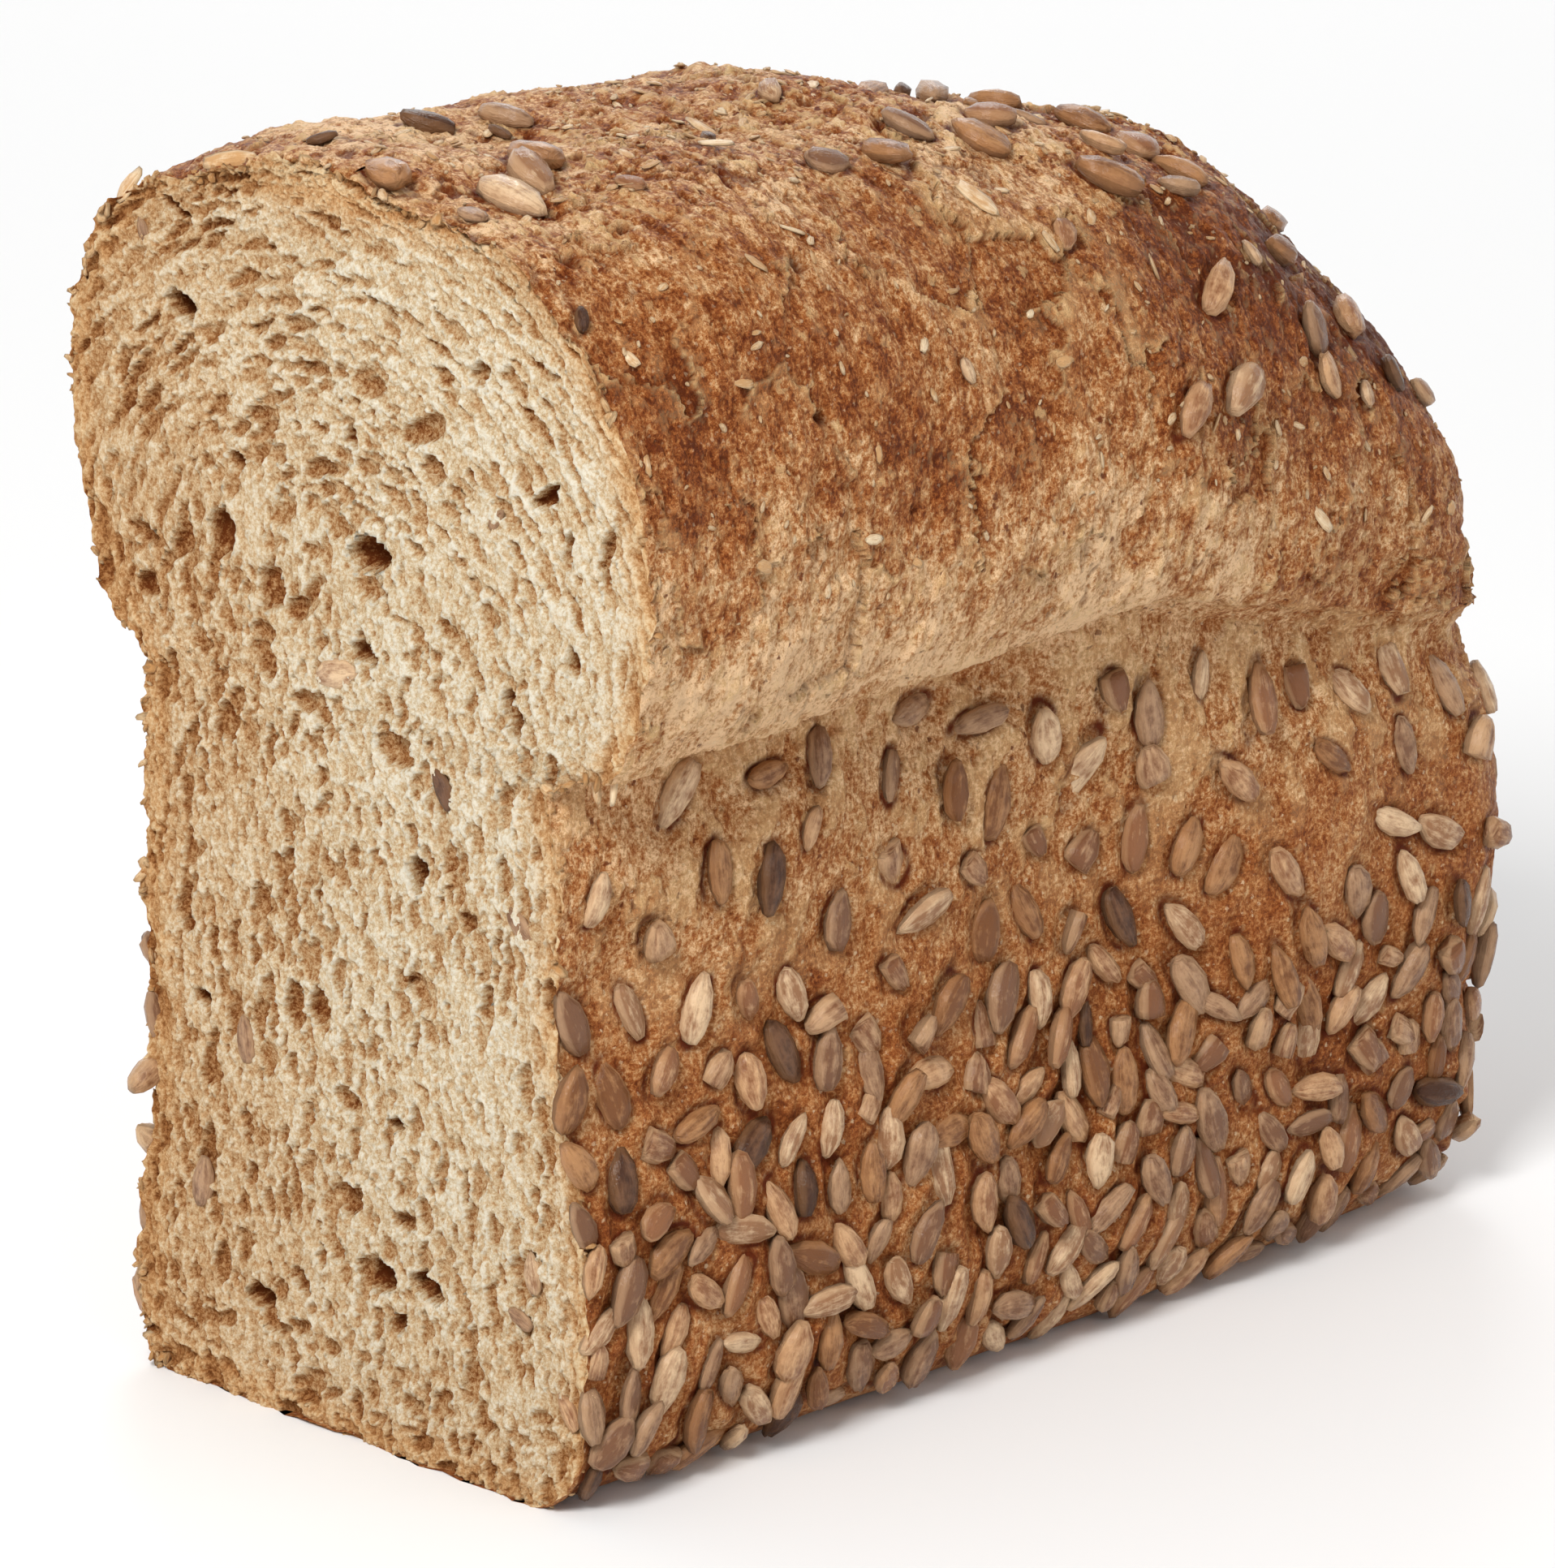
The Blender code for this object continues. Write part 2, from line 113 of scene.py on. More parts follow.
# Plan corners of the heel: squarer at the tin wall than on the crown
WALL_CORNER = 7.0
BELLY_CORNER = 3.4
CROWN_CORNER = 2.3

# How the stretches bend
WALL_NARROW = 1 / 1.5
WALL_PINCH = 0.78
BELLY_BEND = 1.2

# Slow lumps of the dough
LUMP_SEED = 11
LUMP_WAVES = 14
LUMP_SIZE = 0.95 * MM
LUMP_LENGTHS = (24 * MM, 70 * MM)
AXIS_HEIGHT = 72 * MM
FLAT_HEIGHT = 4 * MM
LUMP_EASE = 14 * MM

# Kernels of the tin walls that the solid has too, drawn by its rule
KERNEL_SIZE = np.array([8.8, 4.1, 2.7]) * MM
KERNEL_SEED = 5
KERNEL_SPREAD = 0.12
WALL_KERNELS = 130
WALL_SPACING = 9.3 * MM
WALL_TILT = 38
WALL_BAND = (0.165, 0.48)
CUT_MARGIN = 6.0 * MM
BASE_MARGIN = 6.0 * MM
TRIES_PER_KERNEL = 60
SPARSE_LOSS = 0.86
SPARSE_START = 0.25
SPARSE_EASE = 0.5

# Kernels on the crown, where the photo shows them: u, v, turn in degrees, size, kind. Most
# lie along the ridge and down the shoulder near the heel
CROWN_KERNELS = (
    (0.03, 0.985, -10, 0.95, "brown"),
    (0.10, 0.933, 10, 1.05, "pale"),
    (0.15, 0.948, -5, 1.05, "pale"),
    (0.19, 0.968, -10, 1.12, "brown"),
    (0.44, 0.890, 70, 0.80, "grey"),
    (0.53, 0.894, -10, 1.08, "brown"),
    (0.61, 0.920, 20, 0.92, "grey"),
    (0.68, 0.904, 30, 0.88, "brown"),
    (0.73, 0.924, 50, 0.86, "tan"),
    (0.79, 0.863, 40, 1.08, "brown"),
    (0.84, 0.894, 20, 0.72, "tan"),
    (0.90, 0.860, 50, 0.76, "grey"),
    (0.95, 0.884, 20, 0.78, "brown"),
    (0.95, 0.920, -20, 1.00, "tan"),
    (0.96, 0.968, 15, 0.88, "brown"),
    (0.76, 0.700, -45, 0.92, "tan"),
    (0.85, 0.722, -55, 1.02, "pale"),
    (0.87, 0.791, -50, 1.00, "tan"),
    (1.02, 0.745, 25, 0.82, "tan"),
    (1.02, 0.776, 35, 0.95, "grey"),
    (1.04, 0.831, 75, 0.95, "brown"),
    (1.15, 0.798, -60, 1.02, "tan"),
    (1.16, 0.756, 30, 0.78, "dark"),
    (1.22, 0.871, 75, 0.95, "brown"),
    (1.40, 0.790, -20, 0.95, "tan"),
    (1.62, 0.730, 40, 0.90, "grey"),
    (1.80, 0.850, 10, 1.00, "brown"),
    (2.08, 0.980, 25, 0.80, "brown"),
    (2.13, 0.960, -40, 1.05, "grey"),
    (2.23, 0.965, -65, 0.90, "brown"),
    (2.45, 0.830, 60, 0.95, "tan"),
    (2.71, 0.956, 20, 0.90, "grey"),
    (2.79, 0.941, 45, 0.78, "dark"),
)
# Bits of kernel and husk on the crown that are too small for the solid
CROWN_BITS = (
    (0.03, 0.926, 0, 0.52, "grey"),
    (0.20, 0.904, 15, 0.46, "tan"),
    (0.02, 0.842, -25, 0.45, "dark"),
    (0.39, 0.949, -35, 0.50, "dark"),
    (0.54, 0.985, -35, 0.62, "pale"),
    (0.67, 0.824, -20, 0.58, "tan"),
    (0.90, 0.980, 40, 0.56, "grey"),
    (0.95, 0.815, -15, 0.48, "pale"),
    (1.09, 0.740, -30, 0.50, "pale"),
    (1.23, 0.744, 35, 0.62, "pale"),
    (0.46, 0.757, 10, 0.42, "pale"),
    (2.12, 0.985, -70, 0.50, "brown"),
    (2.16, 0.953, -50, 0.52, "dark"),
    (2.74, 0.968, 5, 0.42, "dark"),
    (2.94, 0.952, 45, 0.42, "dark"),
)

# Flakes of husk and oat on the crown, where the photo shows them: u, v, turn in degrees,
# length and width in mm. Then those that stand off the rim of the cut, of which the last two
# hang from the near lip: place across, height, turn from +Y, length and width
CROWN_FLAKES = (
    (0.60, 0.986, -50, 4.0, 2.2),
    (0.34, 0.920, 60, 4.9, 1.6),
    (0.58, 0.853, 25, 6.4, 3.0),
    (0.23, 0.831, 55, 3.8, 1.6),
    (0.31, 0.847, 70, 4.8, 1.5),
    (0.20, 0.904, 30, 3.3, 2.4),
    (0.43, 0.975, 15, 5.2, 2.0),
    (0.16, 0.781, 80, 3.5, 1.5),
    (0.97, 0.644, 35, 5.1, 1.8),
    (0.64, 0.820, 30, 3.6, 1.6),
    (0.77, 0.800, 35, 4.1, 1.7),
    (1.35, 0.880, 20, 4.6, 2.0),
    (1.70, 0.820, -40, 5.0, 2.2),
    (2.30, 0.900, 50, 4.8, 2.0),
    (2.60, 0.870, -20, 5.4, 2.4),
)
RIM_FLAKES = (
    (39.0, 145.6, 128, 5.6, 2.7),
    (21.5, 151.6, 168, 8.4, 2.2),
    (45.0, 138.8, 80, 3.4, 0.9),
    (-41.2, 89.9, 84, 4.6, 1.5),
    (-38.4, 89.2, 62, 3.2, 1.8),
)
SCATTERED_FLAKES = 900

# Kernels of the tin walls that only the looks have, between the others
MORE_SEED = 21
MORE_WALL_KERNELS = 560
MORE_BAND = (0.148, 0.488)
MORE_SPACING = 4.6 * MM
MORE_SIZE = (0.66, 1.06)
MORE_LOSS = 0.96
MORE_ROOM = 0.7
MORE_TURNS = (50, 38)
MORE_BASE_MARGIN = 3.5 * MM
STUB = 0.62
KINDS = ("pale", "tan", "grey", "dark", "brown", "broken")
KIND_SHARES = (0.22, 0.18, 0.24, 0.05, 0.12, 0.19)

# Fineness of the crust: columns of u by region, rows of v by stretch
SIDE_COLUMNS = 330
HEEL_COLUMNS = 240
ROWS = {"base": 16, "foot": 66, "wall": 262, "lip": 24, "belly": 60, "crown": 232}
CRUMB_COLUMNS = 440

# Larger pores of the cut face in mm: place across, height, length, width, turn in
# degrees, depth
PORES = (
    (28.4, 133.1, 5.6, 3.7, 12, 5.5),
    (28.9, 144.4, 5.6, 1.5, 25, 2.0),
    (21.8, 107.1, 4.8, 6.0, 0, 3.6),
    (-2.8, 109.3, 7.1, 4.4, -12, 5.0),
    (-4.9, 105.4, 3.3, 1.5, 0, 2.4),
    (-0.3, 122.8, 3.0, 2.2, 40, 2.8),
    (-12.6, 126.2, 8.1, 3.4, -25, 1.7),
    (-14.1, 121.9, 4.3, 2.7, 20, 1.8),
    (-32.7, 122.2, 4.7, 2.3, -40, 3.2),
    (-1.9, 97.2, 4.7, 2.6, 10, 3.8),
    (19.1, 116.0, 3.1, 2.2, 20, 2.4),
    (-26.6, 95.1, 2.6, 6.2, -22, 3.2),
    (7.8, 89.5, 5.0, 3.0, 0, 1.4),
    (-7.2, 86.9, 6.8, 3.9, 15, 1.9),
    (-10.4, 72.6, 2.8, 4.5, -8, 4.2),
    (-18.8, 68.7, 2.6, 3.2, 0, 1.9),
    (-8.8, 59.4, 2.7, 1.8, 0, 2.0),
    (10.4, 51.6, 3.4, 6.3, 0, 1.9),
    (1.4, 42.3, 5.0, 3.0, 20, 1.8),
    (-6.5, 41.2, 3.3, 2.0, 0, 2.4),
    (2.0, 30.0, 6.0, 4.0, 10, 2.2),
    (-3.4, 21.3, 5.8, 4.3, -20, 4.4),
    (-11.7, 22.2, 6.1, 3.2, 15, 3.4),
    (17.5, 13.5, 4.6, 2.7, 10, 3.4),
    (-7.7, 29.5, 4.2, 2.4, 0, 1.9),
    (10.0, 17.5, 4.3, 2.5, 30, 1.9),
    (-6.4, 16.4, 4.2, 2.2, -20, 2.4),
    (-22.4, 59.0, 2.4, 6.2, 4, 1.7),
    (-25.3, 75.9, 1.9, 5.4, 0, 1.5),
    (29.0, 58.3, 2.0, 4.4, 0, 2.0),
    (26.3, 48.8, 3.2, 2.2, 0, 2.3),
    (35.6, 104.3, 5.4, 2.2, 10, 1.7),
    (35.1, 98.0, 3.5, 3.0, 0, 2.0),
    (-42.2, 117.0, 1.9, 7.0, 6, 1.9),
    (-36.3, 116.7, 1.8, 5.4, 8, 1.8),
    (-36.9, 103.5, 2.0, 3.8, 0, 2.8),
    (15.1, 96.3, 4.2, 2.8, 0, 1.6),
    (6.4, 129.7, 5.5, 1.9, 5, 1.7),
    (-3.9, 129.7, 5.4, 2.0, -5, 1.7),
    (-22.0, 134.7, 3.5, 2.6, -35, 2.0),
)
# Kernels cut or bared by the knife: place across and height in mm, turn from upright in
# degrees, size, kind
CUT_KERNELS = (
    (2.2, 94.1, -75, 0.85, "pale"),
    (-15.3, 84.1, 30, 0.62, "dark"),
    (-27.7, 70.6, 50, 0.60, "grey"),
    (26.9, 25.7, -10, 0.80, "grey"),
    (34.6, 140.8, 20, 0.42, "grey"),
    (-29.5, 28.7, 8, 0.62, "pale"),
    (-27.4, 22.6, 70, 0.50, "grey"),
    (-35.4, 13.3, 35, 0.60, "tan"),
    (-24.5, 118.1, -40, 0.40, "grey"),
    (19.0, 45.5, 6, 0.70, "grey"),
)

# Small holes in the crown's skin, dark with painted shade: u, v, radius
CROWN_HOLES = (
    (0.25, 0.752, 1.1 * MM),
    (0.29, 0.827, 1.5 * MM),
    (0.06, 0.873, 1.1 * MM),
    (0.14, 0.880, 0.9 * MM),
    (2.95, 0.954, 1.5 * MM),
    (0.30, 0.952, 0.9 * MM),
    (0.39, 0.955, 1.2 * MM),
)

# Drawn pores of the crumb: count, half lengths, power of their sizes, how slim they are,
# depth in half widths, and how loosely they follow the flow
PORE_SEED = 3
FINE_PORES = (5000, (0.3 * MM, 0.8 * MM), 2.0, (0.5, 0.95), (0.6, 1.1), 0.8)
OPEN_PORES = (1500, (0.8 * MM, 2.5 * MM), 2.4, (0.34, 0.75), (0.8, 1.4), 0.4)
CRUMB_GRAIN = 0.12 * MM
CRUMB_HALF_WIDTH = 54 * MM
CRUMB_LOW = -2 * MM
CRUMB_HEIGHT = 158 * MM
CROWN_CENTRE = 92 * MM
CROWN_SQUASH = 0.8
PORE_STEEPNESS = 0.35
PORE_WARP = 0.8 * MM

# Changes of the drawn pores towards the rim, which is this far from the crown's centre
PORE_RIM = 44 * MM
SLIMMER, STRICTER, LONGER = 0.4, 0.7, 0.35

# Strands of the crumb: what their length is multiplied by, the reach from the crown's centre
# at which it is measured, how strongly they show at least, and where the rim is, above and
# beside. Then how far flat patterns are moved from nought
STRAND_STRETCH = 0.2
RING_REACH = 40 * MM
LEAST_TORN = 0.25
RIM_REACH = 46 * MM
RIM_WIDTH = 37 * MM
PLACE_SHIFT = 60 * MM

# Foam of the crumb, of two kinds: cell size, what its length is multiplied by, seed, depth in
# mm. Then how far the change from upright cells to rings wanders, and how they overlap there
FOAMS = ((2.0 * MM, 0.42, 51, 1.05), (1.0 * MM, 0.55, 52, 0.55))
WANDER_UP, WANDER_OUT = 10 * MM, 8 * MM
FOAM_OVERLAP = 1.6

# Nubs and clods of the crumb: spacing and seed, and how steep they are
NUBS = ((1.15 * MM, 46), (2.9 * MM, 49))
NUB_STEEPNESS = 1.5

# Layers of the crumb: those that make its bits, its relief in mm, and how light it is. Then
# the reach in cells of the raster over which it is evened out to find its ridges
CRUMB_BITS = {"strands": 0.6, "crumbs": 0.8}
CRUMB_RELIEF = {
    "nubs": 0.06,
    "clods": 0.08,
    "bits": 0.22,
    "flat grain": 0.12,
    "grain": 0.08,
    "strands": 0.32,
    "swell": 0.4,
}
# Lighter on ridges and darker in pits and with depth: painted highlight and painted shade
CRUMB_TONE = {
    "all": 0.75,
    "pit": -0.16,
    "depth": -0.16,
    "ridge": 0.42,
    "nubs": 0.03,
    "bits": 0.15,
    "strands": 0.16,
    "swell": 0.1,
}
CRUMB_BLUR = 4

# The cut face: reach of its ragged edge, how many rows are evened beside the lip, how much
# nearer the top counts, and then the gold along the rim, towards the far side and low down
EDGE_REACH = 1.5 * MM
EVENED_ROWS = 61
TOP_CLOSER = 1.3
GOLDEN_RIM = (0.95, 0, 3.4 * MM)
GOLDEN_SPREAD = 0.12
GOLDEN_REACH = 8 * MM
FAR_GOLD, LOW_GOLD = 0.42, 0.14
RIM_DARKER, FAR_DARKER = 0.04, 0.3

# A kernel's shape: places of its rings along it, its widest place, powers of its drawn-in
# end, of its thickness along it and round it, how far its end stands out when whole and when
# broken, where its ends begin and how steeply, and then its bend and dents as shares of its
# size, and how many turns of the UV may lie between two kernels
KERNEL_RINGS = (0.05, 0.2, 0.45, 0.72, 0.93)
KERNEL_SIDES = 10
WIDEST = 0.42
DRAWN_IN = (2.3, 0.8)
THICKNESS = (0.7, 0.5)
TIP, STUMP = 0.06, 0.01
END_PLACE, END_POWER = 0.9, 3
KERNEL_BEND = 0.12
KERNEL_WOBBLE = 0.06
KERNEL_SHAPE_SEED = 81
UV_SHIFTS = 40
LOWEST_KERNEL = 0.9 * MM
CUT_KERNEL_OUT = 0.2 * MM
CUT_KERNEL_SHAPE = [1, 1.1, 0.6]
CUT_KERNEL_TONE = 0.8

# Chips along the rim: seeds of their places and shapes, share on the near side, largest size
# and how small they may be, how far they lie askew, ranges of their place in mm, the
# height that they point away from, and the rows left out at both ends of the rim
CHIP_SEED, CHIP_SHAPE_SEED = 91, 92
CHIPS = 300
NEAR_CHIPS = 0.3
CHIP_SIZE = [2.6 * MM, 1.7 * MM, 0.7 * MM]
CHIP_LEAST = 0.5
CHIP_ASKEW = 0.9
CHIP_OUT, CHIP_BACK = (-0.8, 0.2), (-0.1, 0.9)
CHIP_MIDDLE = 95 * MM
CHIP_FIRST, CHIP_LAST = 6, 2
CHIP_RINGS = (0.2, 0.5, 0.8)
CHIP_SIDES = 6
CHIP_WOBBLE = 0.3

# Flakes: seeds, where the scattered ones lie as values of v, their length and how wide they
# are for it, how far flakes on the crown are tilted and lifted, and thicknesses, in mm. Then
# how those at the rim lie and face
FLAKE_SEED, FLAKE_SHAPE_SEED = 95, 96
FLAKE_TOP, FLAKE_SPAN, FLAKE_CROWDING = 0.99, 0.36, 1.7
SCRAP_LENGTH, SCRAP_GROWTH = 0.8, 2.2
SCRAP_WIDTH = (0.3, 0.3)
FLAKE_TILT = 0.22
FLAKE_LIFT = (0.0, 0.35)
FLAKE_THICK, FLAKE_THICKEN, RIM_THICK = 0.28, 0.1 / 3, 0.5
RIM_FLAKE_BACK = 0.9 * MM
RIM_FLAKE_LEAN = 0.25
RIM_FLAKE_FACING = [-1.0, 0.35, 0.3]
FLAKE_RINGS = (0.08, 0.3, 0.6, 0.86)
FLAKE_SIDES = 8
FLAKE_WOBBLE = 0.16

# How many cells a noise has along each axis before it repeats
LATTICE = 61

# What points are multiplied by to draw a pattern out: up the height, up the rolled-out crust
# by less and more, across the loaf, and as the skin's plates are
UP = (1, 1, 0.8)
UP_A_LITTLE, UP_HALF, UP_MORE, UP_FAR = (1, 0.6, 1), (1, 0.45, 1), (1, 0.35, 1), (1, 0.3, 1)
ROUND = (1, 0.8, 0.8)
PLATE_STRETCH = (1.0, 0.8, 0.7)

# Rough noises: size in mm, seed, octaves and gain, and for some what the points are multiplied
# by and moved by
NOISES = {
    "puffs": (8.5, 1, 3, 0.55, UP),
    "wall folds": (11, 9, 2, 0.5, UP_HALF),
    "wall lumps": (2.6, 3, 3, 0.7),
    "wall grain": (0.9, 2, 1, 0.5),
    "torn skin": (4.0, 25, 4, 0.65, UP_A_LITTLE),
    "plate bend x": (5, 13, 4, 0.62),
    "plate bend y": (5, 14, 4, 0.62),
    "plate bend z": (5, 15, 4, 0.62),
    "plates shown": (9, 16, 3, 0.6),
    "dents": (12, 5, 3, 0.55),
    "crown lumps": (3.2, 6, 4, 0.7, ROUND),
    "creases": (5, 20, 4, 0.6, ROUND),
    "cracks": (5.5, 15, 4, 0.66, UP_FAR),
    "wrinkles": (1.2, 7, 2, 0.6, UP_MORE),
    "crown folds": (4.2, 17, 3, 0.6, UP_FAR),
    "crown grain": (0.85, 8, 1, 0.5),
    "bits": (1.9, 24, 4, 0.75, ROUND),
    "patches": (15, 61, 2, 0.5),
    "mottle": (4.0, 62, 4, 0.75),
    "drips": (3.4, 63, 4, 0.7, UP_HALF),
    "shade breaks": (3, 35, 3, 0.6),
    "hole rims": (1.3, 73, 2, 0.7),
    "fine tears": (1.9, 71, 3, 0.7),
    "slow tears": (6, 72, 2, 0.5),
    "rags": (4.5, 74, 4, 0.7),
    "pore warp y": (1.5, 41, 4, 0.85),
    "pore warp z": (1.5, 44, 4, 0.85),
    "crumb grain": (0.6, 42, 2, 0.75, 1, 0.3),
    "crumb swell": (9, 43, 3, 0.55, 1, 0.7),
    "crumbs": (1.0, 50, 3, 0.8, 1, 0.9),
    "foam rags": (7, 53, 2, 0.5, 1, 1.1),
    "rings": (1.3, 47, 3, 0.65),
    "bars": (1.3, 48, 3, 0.65, 1, (0, 0, 5 * MM)),
}

# Eased ramps: the value where each starts, and how far it runs
RAMPS = {
    "sparser": (0.12, 0.55),
    "further apart": (0.25, 0.5),
    "lower wall": (18 * MM, 50 * MM),
    "upper wall": (45 * MM, 30 * MM),
    "over the lip": (V_WALL, V_LIP - V_WALL),
    "on the crown": (V_LIP, 0.05),
    "ridge": (0.83, 0.08),
    "off the spine": (0, 0.06),
    "off the base": (0.4 * MM, 3 * MM),
    "off the cut": (0, 4 * MM),
    "towards the heel": (0, 50 * MM),
    "crater": (0, 0.32),
    "torn skin": (0.02, 0.14),
    "plates shown": (-0.04, 0.2),
    "cracked": (0.08, 0.12),
    "raised": (0.2, 0.1),
    "hollow": (0.2, 0.07),
    "shade breaks": (-0.5 / 1.3, 1 / 1.3),
    "flow above": (-10 * MM, 22 * MM),
    "flow level": (5 * MM, 14 * MM),
    "strands above": (-8 * MM, 16 * MM),
    "foam above": (-4.5 * MM, 9 * MM),
    "foam outside": (18 * MM, 8 * MM),
    "foam wall": (0.08 * MM, 0.26 * MM),
    "foam open": (0.38, 0.55),
    "crumb bits": (-0.05, 0.14),
    "in a pore": (0, 0.5 * MM),
    "off the lip's level": (-16 * MM, 10 * MM),
    "into the crumb": (0, 3 * MM),
    "behind the rim": (0, 1 * MM),
    "far side": (-8 * MM, 50 * MM),
    "low down": (0, 60 * MM),
}

# Layers of the tin walls' relief in mm, and the craters' spacing, seed and share of the cells
WALL_RELIEF = {
    "puffs": 0.44,
    "low puffs": 0.64,
    "folds": -0.09,
    "low folds": -0.3,
    "lumps": 0.26,
    "upper lumps": 0.2,
    "grain": 0.11,
    "craters": -0.4,
    "torn": 0.42,
}
CRATER_SPACING = 3.6 * MM
CRATER_SEED = 4
CRATER_SHARE = 0.16

# The crown's skin: relief in mm, how pale it is, its painted shade, and its change of bake
CROWN_SKIN = {
    "relief": {
        "dents": 0.9,
        "lumps": 0.5,
        "folds": 0.35,
        "ridge creases": 0.45,
        "lift": 0.95,
        "rim": 0.26,
        "foot": -0.2,
        "wrinkles": 0.2,
        "grain": 0.18,
        "raised": 0.2,
        "hollow": -0.4,
        "cracks": -0.3,
        "all": -0.2,
    },
    # pale on the plates' rims is a painted highlight; on raised bits it is pale skin
    "pale": {"rim": 0.8, "raised": 0.75},
    # dark is painted shade: at the plates' feet, in cracks and in hollows
    "dark": {"foot": 0.25, "cracks": 0.5, "hollow": 0.8},
    # less bake on the crests of the ridge's creases is a painted highlight
    "browned": {"tone": 0.26, "eased ridge creases": -0.22, "ridge": 0.132},
}

# How strongly its raised bits and hollows show, by place. Then the belly's place and width as
# values of v, how near to nought the cracks' noise is, and the plates: size, seed, how far
# they are bent, widths of their rims and feet in mm, and what shuffles their tones
RAISED = {"all": 0.25, "ridge": 0.75, "belly": 0.4}
HOLLOW = {"all": 0.2, "ridge": 0.8}
BELLY_PLACE = (0.6, 0.09)
CRACK_WIDTH = 0.02
PLATE_SIZE = 15 * MM
PLATE_SEED = 18
PLATE_BEND = 3 * MM
PLATE_RIM = 0.34
PLATE_FOOT = 0.55
TONE_SHUFFLE = 7.3

# Bake by height: by share of the way from the lip to the ridge, by height of the wall in mm,
# and what the heel adds. Then the lip's height, the least rise from there, the layers that
# mottle the bake, and how much relief counts
# The crown's bake eases off towards the ridge, partly as painted light falling on the top
CROWN_BAKE = (
    (0.0, 0.12, 0.3, 0.5, 0.7, 0.88, 1.0),
    (0.08, 0.14, 0.29, 0.57, 0.65, 0.48, 0.39),
)
WALL_BAKE = ((0, 8, 30, 60, 90), (0.53, 0.51, 0.56, 0.5, 0.26))
HEEL_BAKE = 0.4
LIP_LEVEL = 92 * MM
LEAST_RISE = 20 * MM
BAKE_MOTTLES = {
    "patches": 0.15, "mottle": 0.24, "crown mottle": 0.12, "drips": 0.16, "relief": -0.1,
}
BAKE_RELIEF = 1.2

# How strongly the crust's finer colours show, by region, and how pale its torn skin is
MOTTLED = {"all": 0.5, "crown": 0.5, "ridge": 0.3, "upper wall": 0.5}
# GLINTING: how strongly the painted glints, pale highlight specks, show
GLINTING = {"all": 0.75, "crown": -0.3, "ridge": 0.55}
TORN_PALE = 0.36

# The crust beside the cut: how far it is torn along the loaf, and ragged outwards on the near
# side and further on the far side, in mm
TEAR = 0.8
RAG = 0.7
FAR_RAG = 0.9

# How kernels lie: seeds, spreads of roll and pitch in degrees, ranges of their three sizes,
# how much plumper they are on the crown, the share that is turned end for end, and how deep
# they sit, as a share of their thickness
KERNEL_LIE_SEED = 31
KIND_SEED = 33
ROLL, PITCH = 12, 8
VARIETY = ([0.84, 0.78, 0.78], [1.08, 1.12, 1.08])
CROWN_PLUMP = [1.0, 1.14, 1.2]
FLIPPED = 0.4
CROWN_DEPTH = -0.3
WALL_DEPTHS = (-0.48, 0.14)

# The crust round a kernel: reach in u and v, then the dip and the swelling beyond it, each by
# height in mm, place and width in half sizes of the kernel, the painted contact shade likewise,
# and how much of the kernel's middle rests on the crust. Then the small holes' ragged rims,
# depth and painted shade
SEAT_REACH = (0.06, 0.04)
DIP = (0.3, 0.9, 0.5)
SWELLING = (0.2, 1.7, 0.4)
KERNEL_SHADE = (1.1, 1.0, 0.19)
UNDER = 0.7
HOLE_RAGS = 0.8
HOLE_DEPTH = (1.6, 0, 0.85)
HOLE_SHADE = (1.1, 0, 0.8)

# Camera, in the loaf's own frame
CAMERA_TURN = -45.083
CAMERA_RISE = 17.636
CAMERA_DISTANCE = 1.27648
CAMERA_TARGET = (-0.008709, 0.004072, 0.063734)
CAMERA_FOCAL = 13000.0
PHOTO_HEIGHT = 1932
SENSOR = 36.0


def srgb(*levels):
    """A linear colour from screen levels of 0 to 255."""
    return tuple(((level / 255 + 0.055) / 1.055) ** 2.4 for level in levels)


# Colours
CRUMB_STOPS = (
    (0.0, srgb(106, 52, 22)),
    (0.22, srgb(154, 104, 60)),
    (0.45, srgb(189, 154, 112)),
    (0.7, srgb(212, 191, 156)),
    (1.0, srgb(230, 222, 203)),
)
CRUMB_EDGE_STOPS = (
    (0.0, srgb(108, 58, 26)),
    (0.3, srgb(162, 110, 64)),
    (0.6, srgb(200, 155, 106)),
    (1.0, srgb(226, 199, 158)),
)
CRUST_STOPS = (
    (0.0, srgb(255, 213, 166)),
    (0.22, srgb(222, 174, 125)),
    (0.42, srgb(194, 132, 79)),
    (0.6, srgb(166, 96, 48)),
    (0.8, srgb(133, 68, 30)),
    (1.0, srgb(100, 46, 20)),
)
PALE_COLOUR = srgb(240, 200, 143)
# Painted shade: the colour mixed in beside kernels, at the feet of skin plates, in cracks,
# hollows and holes
PAINTED_SHADE_COLOUR = srgb(104, 42, 15)
SPECK_COLOUR = srgb(112, 48, 18)
GLINT_COLOUR = srgb(246, 218, 178)
KERNEL_COLOURS = {
    "pale": (srgb(146, 104, 72), srgb(215, 183, 146), srgb(204, 168, 130)),
    "tan": (srgb(137, 90, 58), srgb(200, 158, 117), srgb(190, 148, 108)),
    "grey": (srgb(117, 80, 56), srgb(173, 136, 103), srgb(180, 144, 110)),
    "dark": (srgb(68, 40, 24), srgb(109, 75, 52), srgb(122, 88, 60)),
    "brown": (srgb(115, 72, 41), srgb(172, 125, 83), srgb(168, 121, 81)),
    "broken": (srgb(123, 80, 52), srgb(189, 150, 113), srgb(192, 156, 118)),
    "chip": (srgb(186, 136, 84), srgb(226, 196, 154), srgb(204, 160, 110)),
    "husk": (srgb(200, 154, 104), srgb(236, 212, 176), srgb(228, 194, 150)),
}

